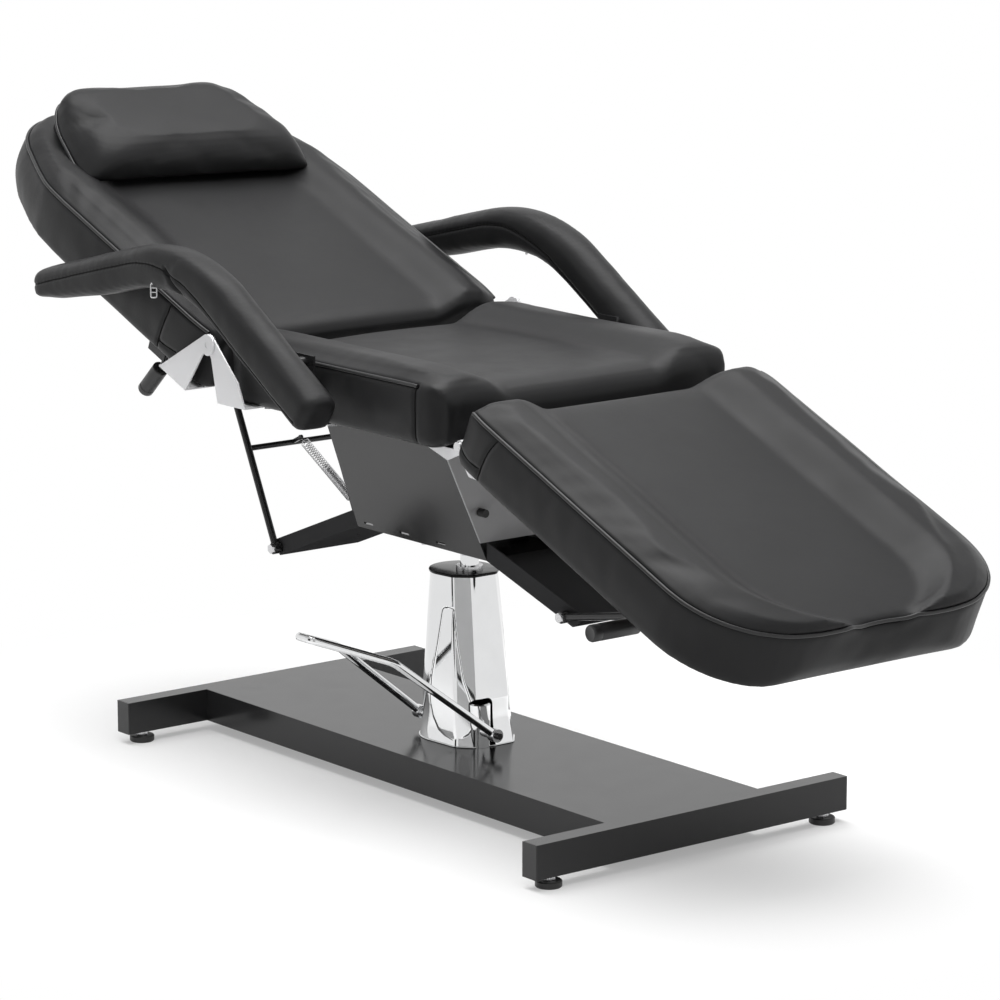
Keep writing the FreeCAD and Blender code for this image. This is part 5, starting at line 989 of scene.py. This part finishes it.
def notchTool(values):
    # the way out for the pedal's shaft, with a rounded head
    x, half, radius = values["x"], values["half"], values["round"]
    outline = [(x - half, values["low"]), (x + half, values["low"])]
    for centre, first in ((x + half - radius, 0), (x - half + radius, math.pi / 2)):
        outline += [(centre + radius * math.cos(first + a), values["top"] - radius + radius * math.sin(first + a))
                    for a in np.linspace(0, math.pi / 2, 8)]
    rings = [[(px, y, pz) for px, pz in outline] for y in (values["front"], values["rear"])]
    tool = loft("notchTool", rings)
    outward(tool)
    return tool


# The lid's edge from below: share of its overhang, and height
lidProfile = [(0.0, 0.0), (0.8, 0.0), (1.0, 0.0008), (1.0, 0.0028), (0.7, 0.0037), (0.0, 0.0040)]


def makeLid(values):
    # a thin black moulding that stands a little proud of the cover
    level = values["foot"] + values["height"]
    rings = []
    for share, z in lidProfile:
        outline = bothHalves(coverPlan(values, 1.0, share * values["lidOverhang"]))
        rings.append([(x, y, level + z) for x, y in outline])
    turns = [math.atan2(y, x) for x, y, _ in rings[0]]
    for z in (lidProfile[-1][1], lidProfile[0][1]):
        rings.append([(values["glandRadius"] * math.cos(a), values["glandRadius"] * math.sin(a), level + z)
                      for a in turns])
    lid = loft("coverLid", rings, "joined")
    crisp(lid)
    dress(lid, "base", "glossPlastic", pumpSpace)
    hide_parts("shroud_lid")


makeCover(coverValues)
makeCreaseShadeLines(coverValues)
makeLid(coverValues)
bossPlace, bossRadius, bossHeight, bossEdge = (-0.021, -0.0500, 0.0672), 0.0165, 0.066, 0.002
boss = lathe("pedalBoss", [(0, bossRadius), (bossHeight - bossEdge, bossRadius), (bossHeight, bossRadius - bossEdge)],
             bossPlace, (0, 0, 1))
dress(boss, "base", "chrome", pumpSpace)
print("pump cover: made")


# Grips of the two release levers

gripProfile = [(0.0, 0.80), (0.012, 0.93), (0.03, 1.0), (0.80, 1.0), (0.815, 0.94), (0.83, 0.94), (0.845, 1.0),
               (0.965, 1.0), (0.99, 0.93), (1.0, 0.8), (0.993, 0.62)]


def makeGrip(name, base, tip, radius, body, node, space):
    length = (Vector(tip) - Vector(base)).length
    profile = [(d * length, r * radius) for d, r in gripProfile]
    grip = lathe(name, profile, base, Vector(tip) - Vector(base))
    dress(grip, body, "plastic", space)
    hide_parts(node)


leverTip, leverKnee = Vector((-0.246, 0.175, -0.180)), Vector((-0.246, 0.146, -0.120))
leverWay = (leverTip - leverKnee).normalized()
gripReach, gripOver = 0.055, 0.005  # how far the grip goes down the rod, and past its tip
makeGrip("backLeverGrip", leverTip - leverWay * gripReach, leverTip + leverWay * gripOver, 0.0125, "back_lever",
         "back_lever_grip", backSpace)
makeGrip("legLeverGrip", (-0.193, -0.372, -0.0617), (-0.275, -0.372, -0.0617), 0.012, "leg_lever",
         "leg_lever_grip", legSpace)
print("grips: made")


# Pulls of the sleeve zips: a wire loop with two bars, below its slider

pullValues = {"wide": 0.0088, "long": 0.0205, "wire": 0.0011, "across": (0.787, -0.617), "round": 0.0026,
              "bars": (0.30, 0.62), "barWire": 0.8, "belowTop": 0.0012, "slider": (0.0042, 0.0075)}


def makePull(node, body, sign, name):
    low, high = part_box(node)
    middle = (low + high) / 2
    across = Vector((-sign * pullValues["across"][0], pullValues["across"][1], 0))
    half, top = pullValues["wide"] / 2, high.z - pullValues["belowTop"]
    foot = -pullValues["long"]
    corners = [Vector(c) for c in ((half, 0.0), (-half, 0.0), (-half, foot), (half, foot))]
    path = []
    for number, corner in enumerate(corners):
        ends = [corner + (other - corner).normalized() * pullValues["round"]
                for other in (corners[number - 1], corners[(number + 1) % 4])]
        for t in (0.0, 0.25, 0.5, 0.75, 1.0):
            spot = cornerPoint(ends[0], corner, ends[1], t)
            path.append(middle.xy.to_3d() + across * spot.x + Vector((0, 0, top + spot.y)))
    loop = tube(name, path, pullValues["wire"], 8, closed=True)
    others = []
    for share in pullValues["bars"]:
        level = Vector((middle.x, middle.y, top - pullValues["long"] * share))
        others.append(tube(name + "Bar", [level - across * half, level, level + across * half],
                           pullValues["wire"] * pullValues["barWire"], 8))
    radius, height = pullValues["slider"]
    others.append(lathe(name + "Slider", [(0, radius * 0.7), (0.001, radius), (height - 0.001, radius),
                                          (height, radius * 0.6)], (middle.x, middle.y, top - 0.001), (0, 0, 1), 24))
    joinPieces(loop, others)
    dress(loop, body, "bright_steel")
    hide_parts(node)


makePull("zip_pull_left", "zip_tab_left", -1, "zipPullLeft")
makePull("zip_pull_right", "zip_tab_right", 1, "zipPullRight")
print("zip pulls: made")


# Heads of the back's two hinge bolts

boltValues = {"radius": 0.0072, "rise": 0.0026, "plateFace": 0.2885}
lowCorner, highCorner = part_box("hinge_bolts")
boltY, boltZ = (lowCorner.y + highCorner.y) / 2, (lowCorner.z + highCorner.z) / 2
boltProfile = [(0.0, 1.0), (0.25, 1.0), (0.55, 0.93), (0.8, 0.74), (0.95, 0.42), (1.0, 0.05)]
for boltSide, sideName in ((-1, "Left"), (1, "Right")):
    head = lathe("hingeBolt" + sideName, [(d * boltValues["rise"], r * boltValues["radius"]) for d, r in boltProfile],
                 (boltSide * boltValues["plateFace"], boltY, boltZ), (boltSide, 0, 0))
    dress(head, "seat", "pale_steel" if boltSide < 0 else "black_screws")
    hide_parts("hinge_bolts")
print("hinge bolts: made")


# Room, light and camera

roomValues = {
    "floor": 14.0, "cloth": 0.80, "glow": (0.33, 1.0), "reach": (0.50, 1.15),
    "world": 0.40, "climb": (0.30, 0.62), "ceilingGlow": 0.40,
}
cameraValues = {"lens": 152.9, "place": (-3.801, -4.846, 1.693), "tilt": 11.60, "turn": -38.53}
white = (1, 1, 1, 1)


def mathNode(tree, operation, first, second):
    return addNode(tree, "Math", {0: first, 1: second}, operation=operation).outputs[0]


def mixShaders(tree, share, first, second, output):
    both = addNode(tree, "MixShader", {0: share, 1: first.outputs[0], 2: second.outputs[0]})
    addNode(tree, output, {"Surface": both.outputs[0]})


def seenShare(tree, mirrors):
    # 1 for the camera's rays and those through glass, and a share of its own for rays from mirrors
    path = addNode(tree, "LightPath").outputs
    direct = mathNode(tree, "MAXIMUM", path["Is Camera Ray"], mirrors(path["Is Glossy Ray"]))
    return mathNode(tree, "MAXIMUM", direct, path["Is Transmission Ray"])


def roomFinish(name, values):
    # white to the camera and in mirrors, fully so away from the chair; it still takes the shadow
    material = bpy.data.materials.new(name)
    tree = emptyTree(material)
    reach = addNode(tree, "VectorMath", {0: objectCoords(tree)}, operation="LENGTH").outputs["Value"]
    rise = mapRange(tree, reach, values["reach"], values["glow"], interpolation_type="SMOOTHSTEP")
    seen = seenShare(tree, lambda glossy: glossy)
    mixShaders(tree, mathNode(tree, "MULTIPLY", seen, rise),
               addNode(tree, "BsdfDiffuse", {"Color": (values["cloth"],) * 3 + (1,)}),
               addNode(tree, "Emission", {"Color": white}), "OutputMaterial")
    return material


def makeRoom(values):
    size = values["floor"] / 2
    floor = quad("studioFloor", [(-size, -size, 0), (size, -size, 0), (size, size, 0), (-size, size, 0)])
    floor.data.materials.append(roomFinish("studioWhite", values))
    scene.world = bpy.data.worlds.new("studio")
    tree = emptyTree(scene.world)
    # the ceiling is dimmer than the white sweep in mirrors
    height = addNode(tree, "SeparateXYZ", {0: addNode(tree, "TexCoord").outputs["Generated"]}).outputs["Z"]
    fade = mapRange(tree, height, values["climb"], (1.0, values["ceilingGlow"]), interpolation_type="SMOOTHSTEP")
    seen = seenShare(tree, lambda glossy: mathNode(tree, "MULTIPLY", glossy, fade))
    mixShaders(tree, seen, addNode(tree, "Background", {"Color": white, "Strength": values["world"]}),
               addNode(tree, "Background", {"Color": white, "Strength": 1.0}), "OutputWorld")


def addFlag(name, azimuth, distance, width, height, grey):
    # dark card beside the set, seen only in polished metal
    half, low = width / 2, 0.02
    card = quad(name, [(-half, 0, low), (half, 0, low), (half, 0, height), (-half, 0, height)])
    turn = math.radians(azimuth)
    card.location = (distance * math.cos(turn), pumpY + distance * math.sin(turn), 0)
    card.rotation_euler = (0, 0, turn + math.pi / 2)
    material, tree, shader = newMaterial(name)
    connect(tree, shader, {"Base Color": (grey, grey, grey, 1), "Roughness": 1, "Specular IOR Level": 0})
    card.data.materials.append(material)
    card.visible_camera = False
    card.visible_diffuse = False
    card.visible_shadow = False


def addLamp(name, values):
    lamp = bpy.data.lights.new(name, "AREA")
    lamp.shape = "RECTANGLE"
    lamp.size, lamp.size_y = values["size"]
    lamp.energy = values["power"]
    holder = addObject(name, lamp)
    holder.location = values["place"]
    holder.rotation_euler = (Vector(lampAim) - Vector(values["place"])).to_track_quat("-Z", "Y").to_euler()
    holder.visible_glossy = values["inMirrors"]


def makeCamera(values):
    view = bpy.data.cameras.new("photoCamera")
    view.sensor_width = 36
    view.lens = values["lens"]
    view.clip_end = 60
    holder = addObject("photoCamera", view)
    x, y, z = values["place"]
    holder.location = (x, y + pumpY, z)
    holder.rotation_euler = (math.radians(90 - values["tilt"]), 0, math.radians(values["turn"]))
    scene.camera = holder


makeRoom(roomValues)
# Azimuth, distance from the pump, width, height and grey of each card
flagValues = {"shoulderFlag": (-144, 1.7, 0.55, 1.5, 0.30), "edgeFlag": (178, 1.9, 0.7, 1.5, 0.02)}
for flagName, flag in flagValues.items():
    addFlag(flagName, *flag)
lampAim = (0, 0, 0.5)
lampValues = {
    "topSoftbox": {"place": (0.35, 0.45, 3.5), "size": (2.6, 2.6), "power": 96, "inMirrors": True},
    "topWash": {"place": (0.0, 0.0, 3.6), "size": (4.5, 4.5), "power": 270, "inMirrors": False},
    "leftFill": {"place": (-4.2, -1.2, 2.0), "size": (2.5, 2.0), "power": 9, "inMirrors": False},
}
for lampName, lamp in lampValues.items():
    addLamp(lampName, lamp)
makeCamera(cameraValues)
scene.view_settings.view_transform = "Standard"
print("room, lamps and camera: placed")

bpy.context.view_layer.update()
